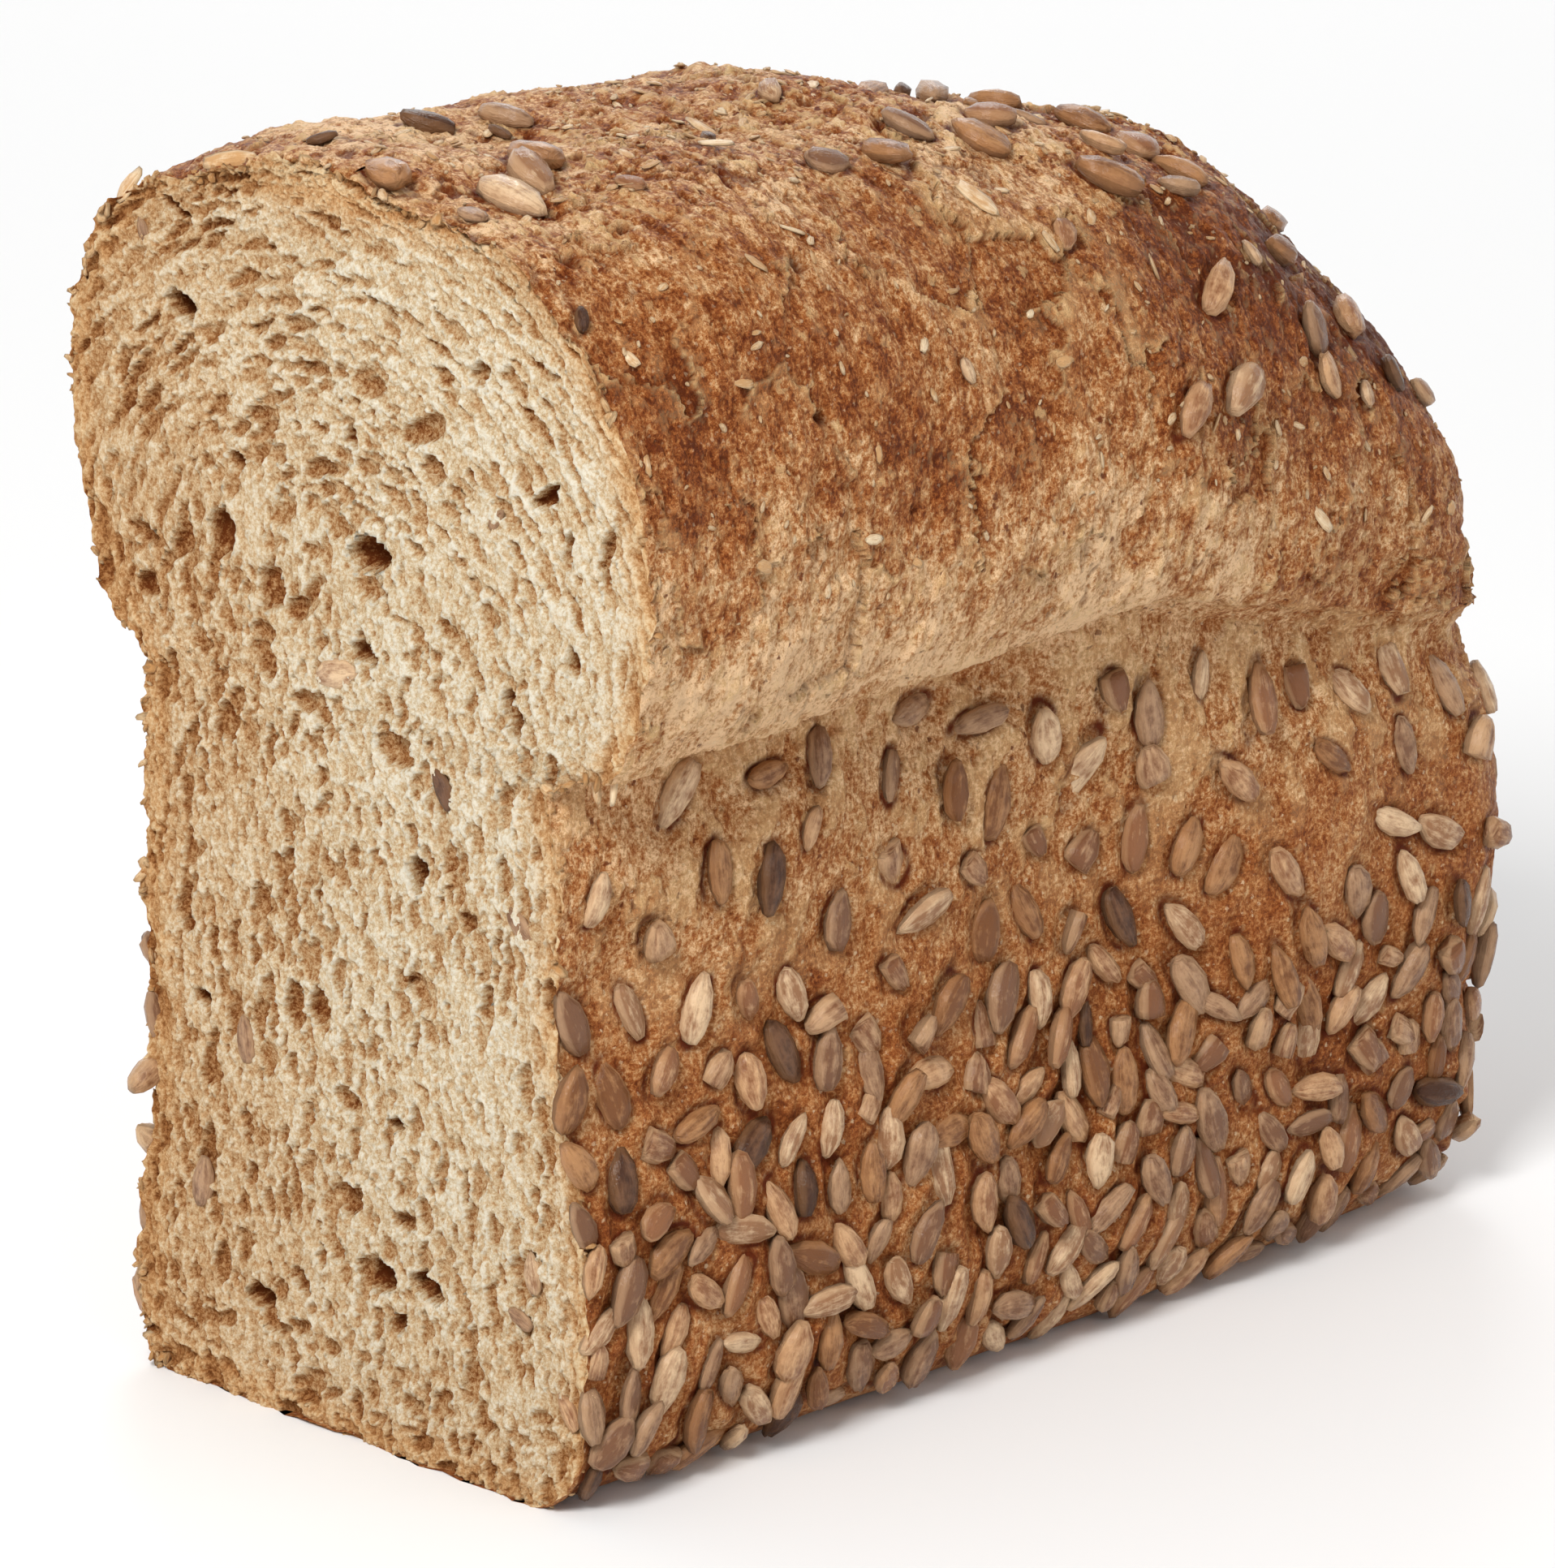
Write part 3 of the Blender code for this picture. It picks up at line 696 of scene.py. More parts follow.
# Roughness and specular level of the finishes
FINISHES = {
    "crumb": (0.85, 0.03),
    "crust": (0.42, 0.1),
    "kernel": (0.23, 0.22),
    "chip": (0.85, 0.22),
    "husk": (0.32, 0.22),
    "stage": (0.9, 0.1),
}

# Noise patterns of the materials: size, detail, roughness, and for those on the UV, which is
# in mm, the stretch
PATTERNS = {
    "fine crumb": (0.5 * MM, 5.0, 0.78),
    "crumb": (3.0 * MM, 5.0, 0.75),
    "toast": (1.3 * MM, 4.0, 0.7),
    "mottle": (2.4 * MM, 6.0, 0.7),
    "grain": (0.6 * MM, 4.0, 0.8),
    "crowds": (7.0 * MM, 4.0, 0.65),
    "streaks": (0.75, 5.0, 0.75, (1.0, 0.35, 1.0)),
    "kernel streaks": (1.0, 4.0, 0.7, (2.2, 13.0, 1.0)),
    "kernel clouds": (2.2 * MM, 4.0, 0.65),
}

# Sharpness and strength of the spots that patterns are turned into
SPOTS = {
    "fine crumb": (5.0, 0.42),
    "crumb": (3.0, 0.2),
    "streaks": (4.0, 0.3),
    "mottle": (4.0, 0.28),
    "grain": (4.0, 0.41),
}

# Slopes and offsets, held between 0 and 1, that cut patterns into patches
CUTS = {
    "toasted": (7.0, -3.7),
    "crowded": (5.0, -1.9),
    "raised grain": (4.5, -1.5),
    "kernel ring": (5.0, -3.4),
}
TOASTED = 0.45

# Specks of the crust: spacing, largest size and share of the cells that have one, then how
# strongly each kind shows, and how their outlines are bent and sharpened
PALE_BLOTS = (2.6 * MM, 0.42, 0.5)
DARK_SPECKS = (1.7 * MM, 0.32, 0.4)
# glints are painted highlights
GLINTS = (0.8 * MM, 0.4, 0.5)
BLOT_STRENGTH, SPECK_STRENGTH, GLINT_STRENGTH = 0.5, 0.85, 0.75
GLINT_CROWDING = (0.6, 0.5)
SPECK_WOBBLE = (2.5, 0.8)
SPECK_SHARPNESS = 9.0

# The kernels' coat: slope and offset of its streaks and its clouds, and the ring's strength.
# Then the bump of each finish, and the grain's share of the crust's
COAT_STREAKS = (3.0, -1.6)
COAT_CLOUDS = (2.8, -1.5)
RING_STRENGTH = 0.55
CRUMB_BUMP, CRUST_BUMP, KERNEL_BUMP = 0.3 * MM, 0.9 * MM, 0.3 * MM
GRAIN_HEIGHT = 0.5

# Studio: the floor's half width, how far behind the loaf the backdrop stands and how high,
# colours, the surroundings' strength, the lights by place, size, power and colour, and where
# they look
FLOOR_HALF, BEHIND, BACKDROP_TOP = 6.0, 2.6, 3.0
STAGE_GREY = (0.9, 0.9, 0.9, 1)
WHITE = (1, 1, 1, 1)
AMBIENT = 0.5
LIGHTS = {
    "key": ((-0.78, -0.35, 0.85), 0.36, 10.5, (1.0, 0.995, 0.985)),
    "fill": ((0.3, -1.1, 0.5), 0.7, 1.6, (1.0, 1.0, 1.0)),
    "back": ((0.85, 0.85, 0.85), 0.4, 3.5, (1.0, 1.0, 1.0)),
}
LIGHT_TARGET = (0, 0, 0.07)


def eased(t):
    """A ramp from 0 to 1 that starts and ends level."""
    t = np.clip(t, 0.0, 1.0)
    return t * t * (3.0 - 2.0 * t)


def hump(value, centre, width):
    """A bell of height 1 round a value."""
    return np.exp(-(((value - centre) / width) ** 2))


def bell(value, height, centre, width):
    """A bell of some height round a value."""
    return height * hump(value, centre, width)


def ramp(name, value):
    """The eased ramp of a name in RAMPS: 0 up to its start, and 1 after its reach past that."""
    start, reach = RAMPS[name]
    return eased((value - start) / reach)


def mixed(shares, layers):
    """The sum of the named layers, each times its share."""
    return sum(share * layers[name] for name, share in shares.items())


def lattice_noise(points, size, seed):
    """Smooth noise from -1 to 1: random values at the corners of a cubic lattice of the
    given size, blended across each cube by an eased ramp."""
    values = np.random.default_rng(seed).uniform(-1, 1, (LATTICE,) * 3)
    place = points / size
    cell = np.floor(place).astype(np.int64)
    share = eased(place - cell)
    low = cell % LATTICE
    high = (cell + 1) % LATTICE
    total = 0.0
    for ups in itertools.product((0, 1), repeat=3):
        index = tuple((high if up else low)[..., axis] for axis, up in enumerate(ups))
        weight = 1.0
        for axis, up in enumerate(ups):
            weight = weight * (share[..., axis] if up else 1 - share[..., axis])
        total = total + weight * values[index]
    return total


def rough_noise(points, size, seed, octaves=3, gain=0.5):
    """Lattice noise summed over octaves, each half as large and gain times as strong."""
    total, strength, sum_of_strengths = 0.0, 1.0, 0.0
    for octave in range(octaves):
        total = total + strength * lattice_noise(points, size / 2**octave, seed + 100 * octave)
        sum_of_strengths += strength
        strength *= gain
    return total / sum_of_strengths


def noise(name, points):
    """The rough noise of a name in NOISES, at points stretched and shifted as it says."""
    size, seed, octaves, gain, *moved = NOISES[name]
    stretch, shift = moved + [1, 0][len(moved):]
    places = points * np.array(stretch) + np.array(shift)
    return rough_noise(places, size * MM, seed, octaves, gain)


def cell_noise(points, size, seed):
    """Distances to the nearest and the second nearest of many centres, one at random in
    each cube of a lattice, as shares of the cube's side, and the own random numbers of
    those two centres, from 0 to 1."""
    draw = np.random.default_rng(seed)
    jitter = draw.uniform(0, 1, (LATTICE, LATTICE, LATTICE, 3)).astype(np.float32)
    number = draw.uniform(0, 1, (LATTICE, LATTICE, LATTICE)).astype(np.float32)
    place = (points / size).astype(np.float32)
    cell = np.floor(place).astype(np.int32)
    near = np.full(place.shape[:-1], 9.0, np.float32)
    far = near.copy()
    near_own = np.zeros(place.shape[:-1], np.float32)
    far_own = near_own.copy()
    for step in itertools.product((-1, 0, 1), repeat=3):
        other = cell + np.array(step, np.int32)
        wrapped = other % LATTICE
        index = (wrapped[..., 0], wrapped[..., 1], wrapped[..., 2])
        gap = other + jitter[index] - place
        distance = np.sqrt((gap * gap).sum(axis=-1))
        own = number[index]
        closest, second = distance < near, distance < far
        far_own = np.where(closest, near_own, np.where(second, own, far_own))
        far = np.where(closest, near, np.where(second, distance, far))
        near_own = np.where(closest, own, near_own)
        near = np.where(closest, distance, near)
    return near, far, near_own, far_own


def ridge_height(x):
    """Height of the crown's ridge: level, then a straight fall after a soft bend."""
    past = x - RIDGE_BEND
    fall = RIDGE_FALL * (np.hypot(past, RIDGE_EASE) + past) / 2
    sag = CUT_SAG * np.exp(-(x + LENGTH / 2) / CUT_SAG_REACH)
    return RIDGE_HEIGHT - fall - sag


def side_size(name, x, side):
    """One size of the profile at x, mixed from the near side (0) to the far one (1)."""
    place = np.clip(x, STATIONS[0], STATIONS[-1])
    scale = 1.0 if name == "crown_power" else MM
    low = np.interp(place, STATIONS, NEAR[name])
    high = np.interp(place, STATIONS, FAR[name])
    return scale * (low * (1 - side) + high * side)


def crown_arc(v, power):
    """Quarter of a superellipse with semi-axes of 1, in polar form: across and up."""
    turn = np.pi / 2 * np.clip((v - V_BELLY) / (1 - V_BELLY), 0, 1)
    cosine, sine = np.clip(np.cos(turn), 0, 1), np.sin(turn)
    size = (cosine**power + sine**power) ** (-1 / power)
    return cosine * size, sine * size


def profile_reach(v, foot, foot_round, waist, crease, lip, belly, power):
    """Distance from the spine at v: flat base, quarter-round foot, wall that narrows to
    the waist and pinches in to the crease, lip that swings out, belly and crown."""
    base = (foot - foot_round) * v / V_BASE
    foot_turn = np.pi / 2 * np.clip((v - V_BASE) / (V_FOOT - V_BASE), 0, 1)
    foot_part = foot - foot_round + foot_round * np.sin(foot_turn)
    up = (v - V_FOOT) / (V_WALL - V_FOOT)
    pinch = eased((up - WALL_PINCH) / (1 - WALL_PINCH))
    wall = foot + (waist - foot) * eased(up / WALL_NARROW) + (crease - waist) * pinch
    out = np.clip((v - V_WALL) / (V_LIP - V_WALL), 0, 1)
    lip_part = crease + (lip - crease) * out
    belly_turn = np.pi / 2 * np.clip((v - V_LIP) / (V_BELLY - V_LIP), 0, 1)
    belly_part = lip + (belly - lip) * np.sin(belly_turn) ** BELLY_BEND
    crown = belly * crown_arc(v, power)[0]
    stretches = [v <= V_BASE, v <= V_FOOT, v <= V_WALL, v <= V_LIP, v <= V_BELLY]
    return np.select(stretches, [base, foot_part, wall, lip_part, belly_part], crown)


def profile_height(v, foot_rise, crease_z, lip_z, belly_z, ridge_z, power):
    """Height above the base at v, stretch by stretch as in profile_reach."""
    foot_turn = np.pi / 2 * np.clip((v - V_BASE) / (V_FOOT - V_BASE), 0, 1)
    foot_part = foot_rise * (1 - np.cos(foot_turn))
    up = np.clip((v - V_FOOT) / (V_WALL - V_FOOT), 0, 1)
    wall = foot_rise + (crease_z - foot_rise) * up
    out = np.clip((v - V_WALL) / (V_LIP - V_WALL), 0, 1)
    lip_part = crease_z + (lip_z - crease_z) * np.sin(out * np.pi / 2)
    belly_turn = np.pi / 2 * np.clip((v - V_LIP) / (V_BELLY - V_LIP), 0, 1)
    belly_part = lip_z + (belly_z - lip_z) * (1 - np.cos(belly_turn) ** BELLY_BEND)
    crown = belly_z + (ridge_z - belly_z) * crown_arc(v, power)[1]
    stretches = [v <= V_FOOT, v <= V_WALL, v <= V_LIP, v <= V_BELLY]
    return np.select(stretches, [foot_part, wall, lip_part, belly_part], crown)


def lumps(points):
    """Slow swelling of the dough: a sum of plane waves with seeded directions."""
    draw = np.random.default_rng(LUMP_SEED)
    directions = draw.normal(size=(LUMP_WAVES, 3))
    directions /= np.linalg.norm(directions, axis=1, keepdims=True)
    lengths = draw.uniform(*LUMP_LENGTHS, LUMP_WAVES)
    phases = draw.uniform(0, 2 * np.pi, LUMP_WAVES)
    waves = np.sin(points @ (directions * (2 * np.pi / lengths[:, None])).T + phases)
    return LUMP_SIZE * waves.sum(axis=-1) / np.sqrt(LUMP_WAVES / 2)


def crust(u, v):
    """Points of the bare crust. Along the sides the profile is carried straight; round the
    heel it is swept as a superellipse in polar form, whose power falls from the tin wall
    to the crown. Slow lumps push it away from the loaf's axis, fading at the base."""
    along = np.where(u < 1, u, np.where(u > 2, 3 - u, 1))
    turn = np.pi * (np.clip(u, 1, 2) - HEEL_MIDDLE)
    side = (1 + np.sin(turn)) / 2
    side = np.where(u < 1, 0.0, np.where(u > 2, 1.0, side))
    straight_x = -LENGTH / 2 + along * (SPINE_END + LENGTH / 2)
    station = straight_x + HEEL["belly"] * MM * np.cos(turn)

    power = side_size("crown_power", station, side)
    names = ("foot", "foot_round", "waist", "crease", "lip", "belly")
    sizes = [side_size(name, station, side) for name in names]
    across = profile_reach(v, *sizes, power)
    heel = [HEEL[name] * MM for name in ("waist", "crease", "lip", "belly")]
    ahead = profile_reach(v, HEEL["foot"] * MM, HEEL_ROUND * MM, *heel, power)

    corner = np.interp(v, (V_LIP, V_BELLY, 1.0), (WALL_CORNER, BELLY_CORNER, CROWN_CORNER))
    cosine, sine = np.clip(np.cos(turn), 0, 1), np.sin(turn)
    ahead, across = np.maximum(ahead, TINY), np.maximum(across, TINY)
    reach = ((cosine / ahead) ** corner + (np.abs(sine) / across) ** corner) ** (-1 / corner)
    x = straight_x + reach * cosine
    y = reach * sine
    names = ("foot_rise", "crease_z", "lip_z", "belly_z")
    heights = [side_size(name, station, side) for name in names]
    z = profile_height(v, *heights, ridge_height(x), power)

    points = np.stack(np.broadcast_arrays(x, y, z), axis=-1)
    spine = np.stack(np.broadcast_arrays(straight_x, 0 * y, AXIS_HEIGHT + 0 * z), axis=-1)
    outward = points - spine
    outward /= np.linalg.norm(outward, axis=-1, keepdims=True)
    free = eased((points[..., 2] - FLAT_HEIGHT) / LUMP_EASE)
    return points + outward * (lumps(points) * free)[..., None]


def unit(vectors):
    """Vectors of length 1, row by row."""
    return vectors / np.maximum(np.linalg.norm(vectors, axis=-1, keepdims=True), NEVER_ZERO)


def squared(directions, others):
    """Directions made square to others, row by row, at length 1."""
    return unit(directions - others * (directions * others).sum(axis=-1, keepdims=True))


def crust_frame(u, v):
    """Point, outward normal and up-the-wall direction of the crust at each place."""
    around = crust(u + FRAME_STEP, v) - crust(u - FRAME_STEP, v)
    upward = crust(u, v + FRAME_STEP) - crust(u, v - FRAME_STEP)
    return crust(u, v), unit(np.cross(around, upward)), unit(upward)


def wall_kernel_places():
    """The solid's kernels of the tin walls, by its rule and draws: u, v, turn, size."""
    draw = np.random.default_rng(KERNEL_SEED)
    places = []
    kept = np.empty((0, 3))
    low, high = WALL_BAND
    for _ in range(TRIES_PER_KERNEL * WALL_KERNELS):
        u, v, chance, turn, growth = draw.uniform(size=5)
        u, v = 3 * u, low + (high - low) * v
        point = crust(u, v)
        height = (v - V_FOOT) / (V_WALL - V_FOOT)
        crowding = 1.0 - SPARSE_LOSS * eased((height - SPARSE_START) / SPARSE_EASE)
        inside = point[0] > CUT_MARGIN - LENGTH / 2 and point[2] > BASE_MARGIN
        near = np.linalg.norm(kept - point, axis=1) < WALL_SPACING
        if chance > crowding or not inside or near.any():
            continue
        kept = np.vstack([kept, point])
        places.append((u, v, WALL_TILT * (2 * turn - 1), 1 + KERNEL_SPREAD * (2 * growth - 1)))
        if len(places) == WALL_KERNELS:
            break
    return np.array(places)


def more_kernel_places(shared):
    """Further kernels of the tin walls, in the gaps between the shared ones: u, v, turn,
    size. They crowd towards the foot, mostly upright, and some lie across."""
    draw = np.random.default_rng(MORE_SEED)
    u, v, chance, turn, growth = draw.uniform(size=(5, TRIES_PER_KERNEL * MORE_WALL_KERNELS))
    u, v = 3 * u, MORE_BAND[0] + (MORE_BAND[1] - MORE_BAND[0]) * v
    points = crust(u, v)
    height = (v - V_FOOT) / (V_WALL - V_FOOT)
    crowding = 1.0 - MORE_LOSS * ramp("sparser", height)
    spacing = MORE_SPACING * (1 + MORE_ROOM * ramp("further apart", height))
    candidates = np.flatnonzero((chance < crowding) & (points[:, 2] > MORE_BASE_MARGIN))
    kept = crust(shared[:, 0], shared[:, 1])
    chosen = []
    for pick in candidates:
        if np.linalg.norm(kept - points[pick], axis=1).min() < spacing[pick]:
            continue
        kept = np.vstack([kept, points[pick]])
        chosen.append(pick)
        if len(chosen) == MORE_WALL_KERNELS:
            break
    swing = 2 * turn[chosen] - 1
    turns = MORE_TURNS[0] * swing + MORE_TURNS[1] * swing**5
    size = MORE_SIZE[0] + (MORE_SIZE[1] - MORE_SIZE[0]) * np.sqrt(growth[chosen])
    return np.stack([u[chosen], v[chosen], turns, size], axis=-1)


def profile_rows():
    """Values of v for the rows of the crust, and where each stretch starts among them."""
    ends = (0, V_BASE, V_FOOT, V_WALL, V_LIP, V_BELLY, 1)
    stretches = zip(ends, ends[1:], ROWS.values())
    parts = [np.linspace(a, b, count, endpoint=False) for a, b, count in stretches]
    starts = np.cumsum([0, *ROWS.values()])
    return np.append(np.concatenate(parts), 1.0), dict(zip([*ROWS, "end"], starts))


def outline_columns():
    """Values of u for the columns of the crust, from the near cut round to the far one. The
    far side has every second column of the near one."""
    near = np.linspace(0, 1, SIDE_COLUMNS, endpoint=False)
    heel = np.linspace(1, 2, HEEL_COLUMNS + 1)
    return np.concatenate([near, heel, 3 - near[::-2] + 1 / SIDE_COLUMNS])


def grid_normals(grid):
    """Unit normals of a grid of points, from its central differences. Along the spine both
    sides get the mean of theirs, and the whole end of the spine gets one."""
    normals = unit(np.cross(np.gradient(grid, axis=0), np.gradient(grid, axis=1)))
    near = slice(0, SIDE_COLUMNS, 2)
    twins = slice(len(grid) - 1, SIDE_COLUMNS + HEEL_COLUMNS, -1)
    shared = unit(normals[near, -2] + normals[twins, -2])
    normals[near, -1] = shared
    normals[twins, -1] = shared
    end = slice(SIDE_COLUMNS, SIDE_COLUMNS + HEEL_COLUMNS + 1)
    normals[end, -1] = unit(normals[end, -2].mean(axis=0))
    return normals


def sheet_places(grid):
    """Flat coordinates of the crust, as if it were rolled out: length round the loaf, and
    height along the profile, both measured on the grid."""
    waist = np.searchsorted(profile_rows()[0], V_WAIST)
    round_steps = np.linalg.norm(np.diff(grid[:, waist], axis=0), axis=-1)
    up_steps = np.linalg.norm(np.diff(grid[SIDE_COLUMNS // 2], axis=0), axis=-1)
    s = np.concatenate([[0], np.cumsum(round_steps)])
    t = np.concatenate([[0], np.cumsum(up_steps)])
    return np.stack(np.broadcast_arrays(s[:, None], t[None, :], 0.0), axis=-1)


def wall_relief(points, sheet):
    """Relief of the tin walls in mm, and how torn their skin is, from 0 to 1. Puffs of dough
    swell towards the foot, with folds between them, small lumps, fine grain and a few
    craters. The skin of the upper wall is lumpier and lies in raised, torn patches."""
    low, upper = 1 - ramp("lower wall", points[..., 2]), ramp("upper wall", points[..., 2])
    puffs, lumps = noise("puffs", points), noise("wall lumps", points)
    folds = eased(1 - 2 * np.abs(noise("wall folds", sheet)))
    distance, _, own, _ = cell_noise(points, CRATER_SPACING, CRATER_SEED)
    torn = ramp("torn skin", noise("torn skin", sheet)) * upper
    layers = {
        "puffs": puffs,
        "low puffs": low * puffs,
        "folds": folds,
        "low folds": low * folds,
        "lumps": lumps,
        "upper lumps": upper * lumps,
        "grain": noise("wall grain", points),
        "craters": (own < CRATER_SHARE) * (1 - ramp("crater", distance)),
        "torn": torn,
    }
    return mixed(WALL_RELIEF, layers), torn


def skin_plates(points):
    """Thin plates of the crown's skin, as cells with ragged borders: how far each is lifted,
    the rims of the higher ones and the feet beside them, which show in patches, and each
    plate's own tone. Rims take a painted highlight and feet a painted shadow."""
    bend = np.stack([noise(f"plate bend {axis}", points) for axis in "xyz"], axis=-1)
    places = points * PLATE_STRETCH + PLATE_BEND * bend
    near, far, own, other = cell_noise(places, PLATE_SIZE, PLATE_SEED)
    border = (far - near) * PLATE_SIZE / (2 * MM)
    shown = ramp("plates shown", noise("plates shown", points))
    return {
        "lift": (own - 0.5) * shown,
        "rim": np.exp(-border / PLATE_RIM) * (own > other) * shown,
        "foot": np.exp(-border / PLATE_FOOT) * (own <= other) * shown,
        "tone": (TONE_SHUFFLE * own) % 1 - 0.5,
    }


def crown_skin(points, v, sheet, fade):
    """Relief of the crown in mm, how pale its skin is there, its painted shade, and its change
    of bake. It is dented, lumpy along the ridge, and finely wrinkled along the profile. The
    skin lies in thin plates with ragged borders, painted highlight on their rims and painted
    shadow at their feet, and a few cracks run up the shoulder, darkened by painted shade.
    Along the ridge it is patchy, with pale raised bits, hollows darkened by painted shade and
    crease crests lightened by a painted highlight."""
    where = {"all": 1, "ridge": ramp("ridge", v), "belly": hump(v, *BELLY_PLACE)}
    dents, bits = noise("dents", points), noise("bits", points)
    creases = 1 - 2 * np.abs(noise("creases", points))
    cracks = hump(noise("cracks", sheet), 0, CRACK_WIDTH) * ramp("cracked", dents)
    layers = where | skin_plates(points) | {
        "dents": dents,
        "lumps": noise("crown lumps", points),
        "folds": noise("crown folds", sheet) * fade,
        "wrinkles": noise("wrinkles", sheet) * fade,
        "grain": noise("crown grain", points),
        "cracks": cracks * fade,
        "raised": ramp("raised", bits) * mixed(RAISED, where),
        "hollow": ramp("hollow", -bits) * mixed(HOLLOW, where),
        "ridge creases": where["ridge"] * creases,
        "eased ridge creases": where["ridge"] * eased(creases),
    }
    return [mixed(shares, layers) for shares in CROWN_SKIN.values()]


def crust_bake(points, sheet, v, relief, fade):
    """How far the crust has browned, from 0 pale to 1 dark: pale at the lip and lower
    belly, deep on the shoulders and towards the heel, golden on top, lighter there in part as
    painted light from above, and darker towards the foot of the wall, with mottling at
    several sizes."""
    x, z = points[..., 0], points[..., 2]
    rise = np.maximum(ridge_height(x) - LIP_LEVEL, LEAST_RISE)
    crown = np.interp(np.clip((z - LIP_LEVEL) / rise, 0, 1), *CROWN_BAKE)
    crown = crown + HEEL_BAKE * ramp("towards the heel", x)
    wall = np.interp(z / MM, *WALL_BAKE)
    on_crown = ramp("over the lip", v)
    mottle = noise("mottle", points)
    layers = {
        "patches": noise("patches", points),
        "mottle": mottle,
        "crown mottle": on_crown * mottle,
        "drips": noise("drips", sheet) * fade * on_crown,
        "relief": np.clip(relief, -BAKE_RELIEF, BAKE_RELIEF),
    }
    return wall * (1 - on_crown) + crown * on_crown + mixed(BAKE_MOTTLES, layers)


class Kernels:
    """All kernels set into the crust: where each sits, how it lies, its size and kind."""

    def __init__(self, places, kinds):
        draw = np.random.default_rng(KERNEL_LIE_SEED)
        count = len(places)
        self.u, self.v = places[:, 0], places[:, 1]
        point, normal, upward = crust_frame(self.u, self.v)
        turn = np.radians(places[:, 2])[:, None]
        across = np.cross(normal, upward)
        along = np.cos(turn) * upward + np.sin(turn) * across
        side = np.cross(normal, along)
        roll = np.radians(draw.normal(0, ROLL, count))[:, None]
        pitch = np.radians(draw.normal(0, PITCH, count))[:, None]
        self.normal = normal
        self.flat = unit(normal * np.cos(roll) + side * np.sin(roll) + along * np.sin(pitch))
        self.along = squared(along, self.flat)
        self.side = np.cross(self.flat, self.along)
        variety = draw.uniform(*VARIETY, (count, 3))
        plump = np.where(self.v[:, None] > V_LIP, CROWN_PLUMP, 1.0)
        self.size = KERNEL_SIZE * places[:, 3:4] * variety * plump
        self.flip = np.where(draw.uniform(size=count) < FLIPPED, -1.0, 1.0)
        self.centre = point
        self.tone = draw.uniform(0, 1, count)
        self.kind = np.array(kinds)
        self.buried = np.where(self.v > V_LIP, CROWN_DEPTH, draw.uniform(*WALL_DEPTHS, count))


def all_kernels():
    """The solid's kernels, the small bits of the crown and the further ones of the walls."""
    draw = np.random.default_rng(KIND_SEED)
    wall = wall_kernel_places()
    more = more_kernel_places(wall)
    crown = [entry[:4] for entry in CROWN_KERNELS + CROWN_BITS]
    places = np.concatenate([wall, more, crown])
    kinds = draw.choice(KINDS, size=len(wall) + len(more), p=KIND_SHARES)
    return Kernels(places, [*kinds, *(entry[4] for entry in CROWN_KERNELS + CROWN_BITS)])


def set_kernels_in(kernels, grid, relief, columns, rows):
    """Seat each kernel on the relief under it. The crust dips softly round it and swells a
    little beyond. The result is the painted contact shade of the crust beside kernels."""
    gap = np.zeros(relief.shape)
    uneven = ramp("shade breaks", noise("shade breaks", grid))
    reach_u, reach_v = SEAT_REACH
    windows = []
    for k in range(len(kernels.u)):
        i0, i1 = np.searchsorted(columns, [kernels.u[k] - reach_u, kernels.u[k] + reach_u])
        j0, j1 = np.searchsorted(rows, [kernels.v[k] - reach_v, kernels.v[k] + reach_v])
        patch = (slice(i0, i1), slice(j0, j1))
        offset = grid[patch] - kernels.centre[k]
        a = offset @ kernels.along[k] / (kernels.size[k, 0] / 2)
        if kernels.kind[k] == "broken":
            a = (a * kernels.flip[k] + 1 - STUB) / STUB
        b = offset @ kernels.side[k] / (kernels.size[k, 1] / 2)
        r = np.hypot(a, b)
        dip = bell(r, *DIP) - bell(r, *SWELLING)
        relief[patch] -= dip * kernels.size[k, 0] / KERNEL_SIZE[0]
        # painted contact shade in a ring round the kernel, broken up by noise
        gap[patch] = np.maximum(gap[patch], bell(r, *KERNEL_SHADE) * uneven[patch])
        windows.append((patch, r < UNDER))
    for k, (patch, under) in enumerate(windows):
        lift = relief[patch][under].mean() * MM if under.any() else 0.0
        sink = kernels.buried[k] * kernels.size[k, 2]
        kernels.centre[k] = kernels.centre[k] + kernels.normal[k] * (lift - sink)
    return gap


def press_holes(grid, relief, gap):
    """Press the small holes into the crown's skin, and paint shade into them."""
    ragged = 1 + HOLE_RAGS * noise("hole rims", grid)
    for u, v, radius in CROWN_HOLES:
        r = np.linalg.norm(grid - crust(np.array(u), np.array(v)), axis=-1) / radius * ragged
        relief -= bell(r, *HOLE_DEPTH)
        gap[:] = np.maximum(gap, bell(r, *HOLE_SHADE))


def ruffle_cut(grid, columns, points):
    """Make the crust ragged beside the cut: pushed out and in along its normals, most on
    the far side, and torn along the loaf. Nothing goes below the floor."""
    beside = 1 - ramp("off the cut", grid[..., 0] + LENGTH / 2)
    side = RAG + FAR_RAG * (columns[:, None] > HEEL_MIDDLE)
    points += grid_normals(grid) * (noise("rags", grid) * side * beside * MM)[..., None]
    torn = noise("fine tears", grid) + noise("slow tears", grid)
    points[..., 0] += TEAR * torn * MM * beside
    points[..., 2] = np.maximum(points[..., 2], 0)


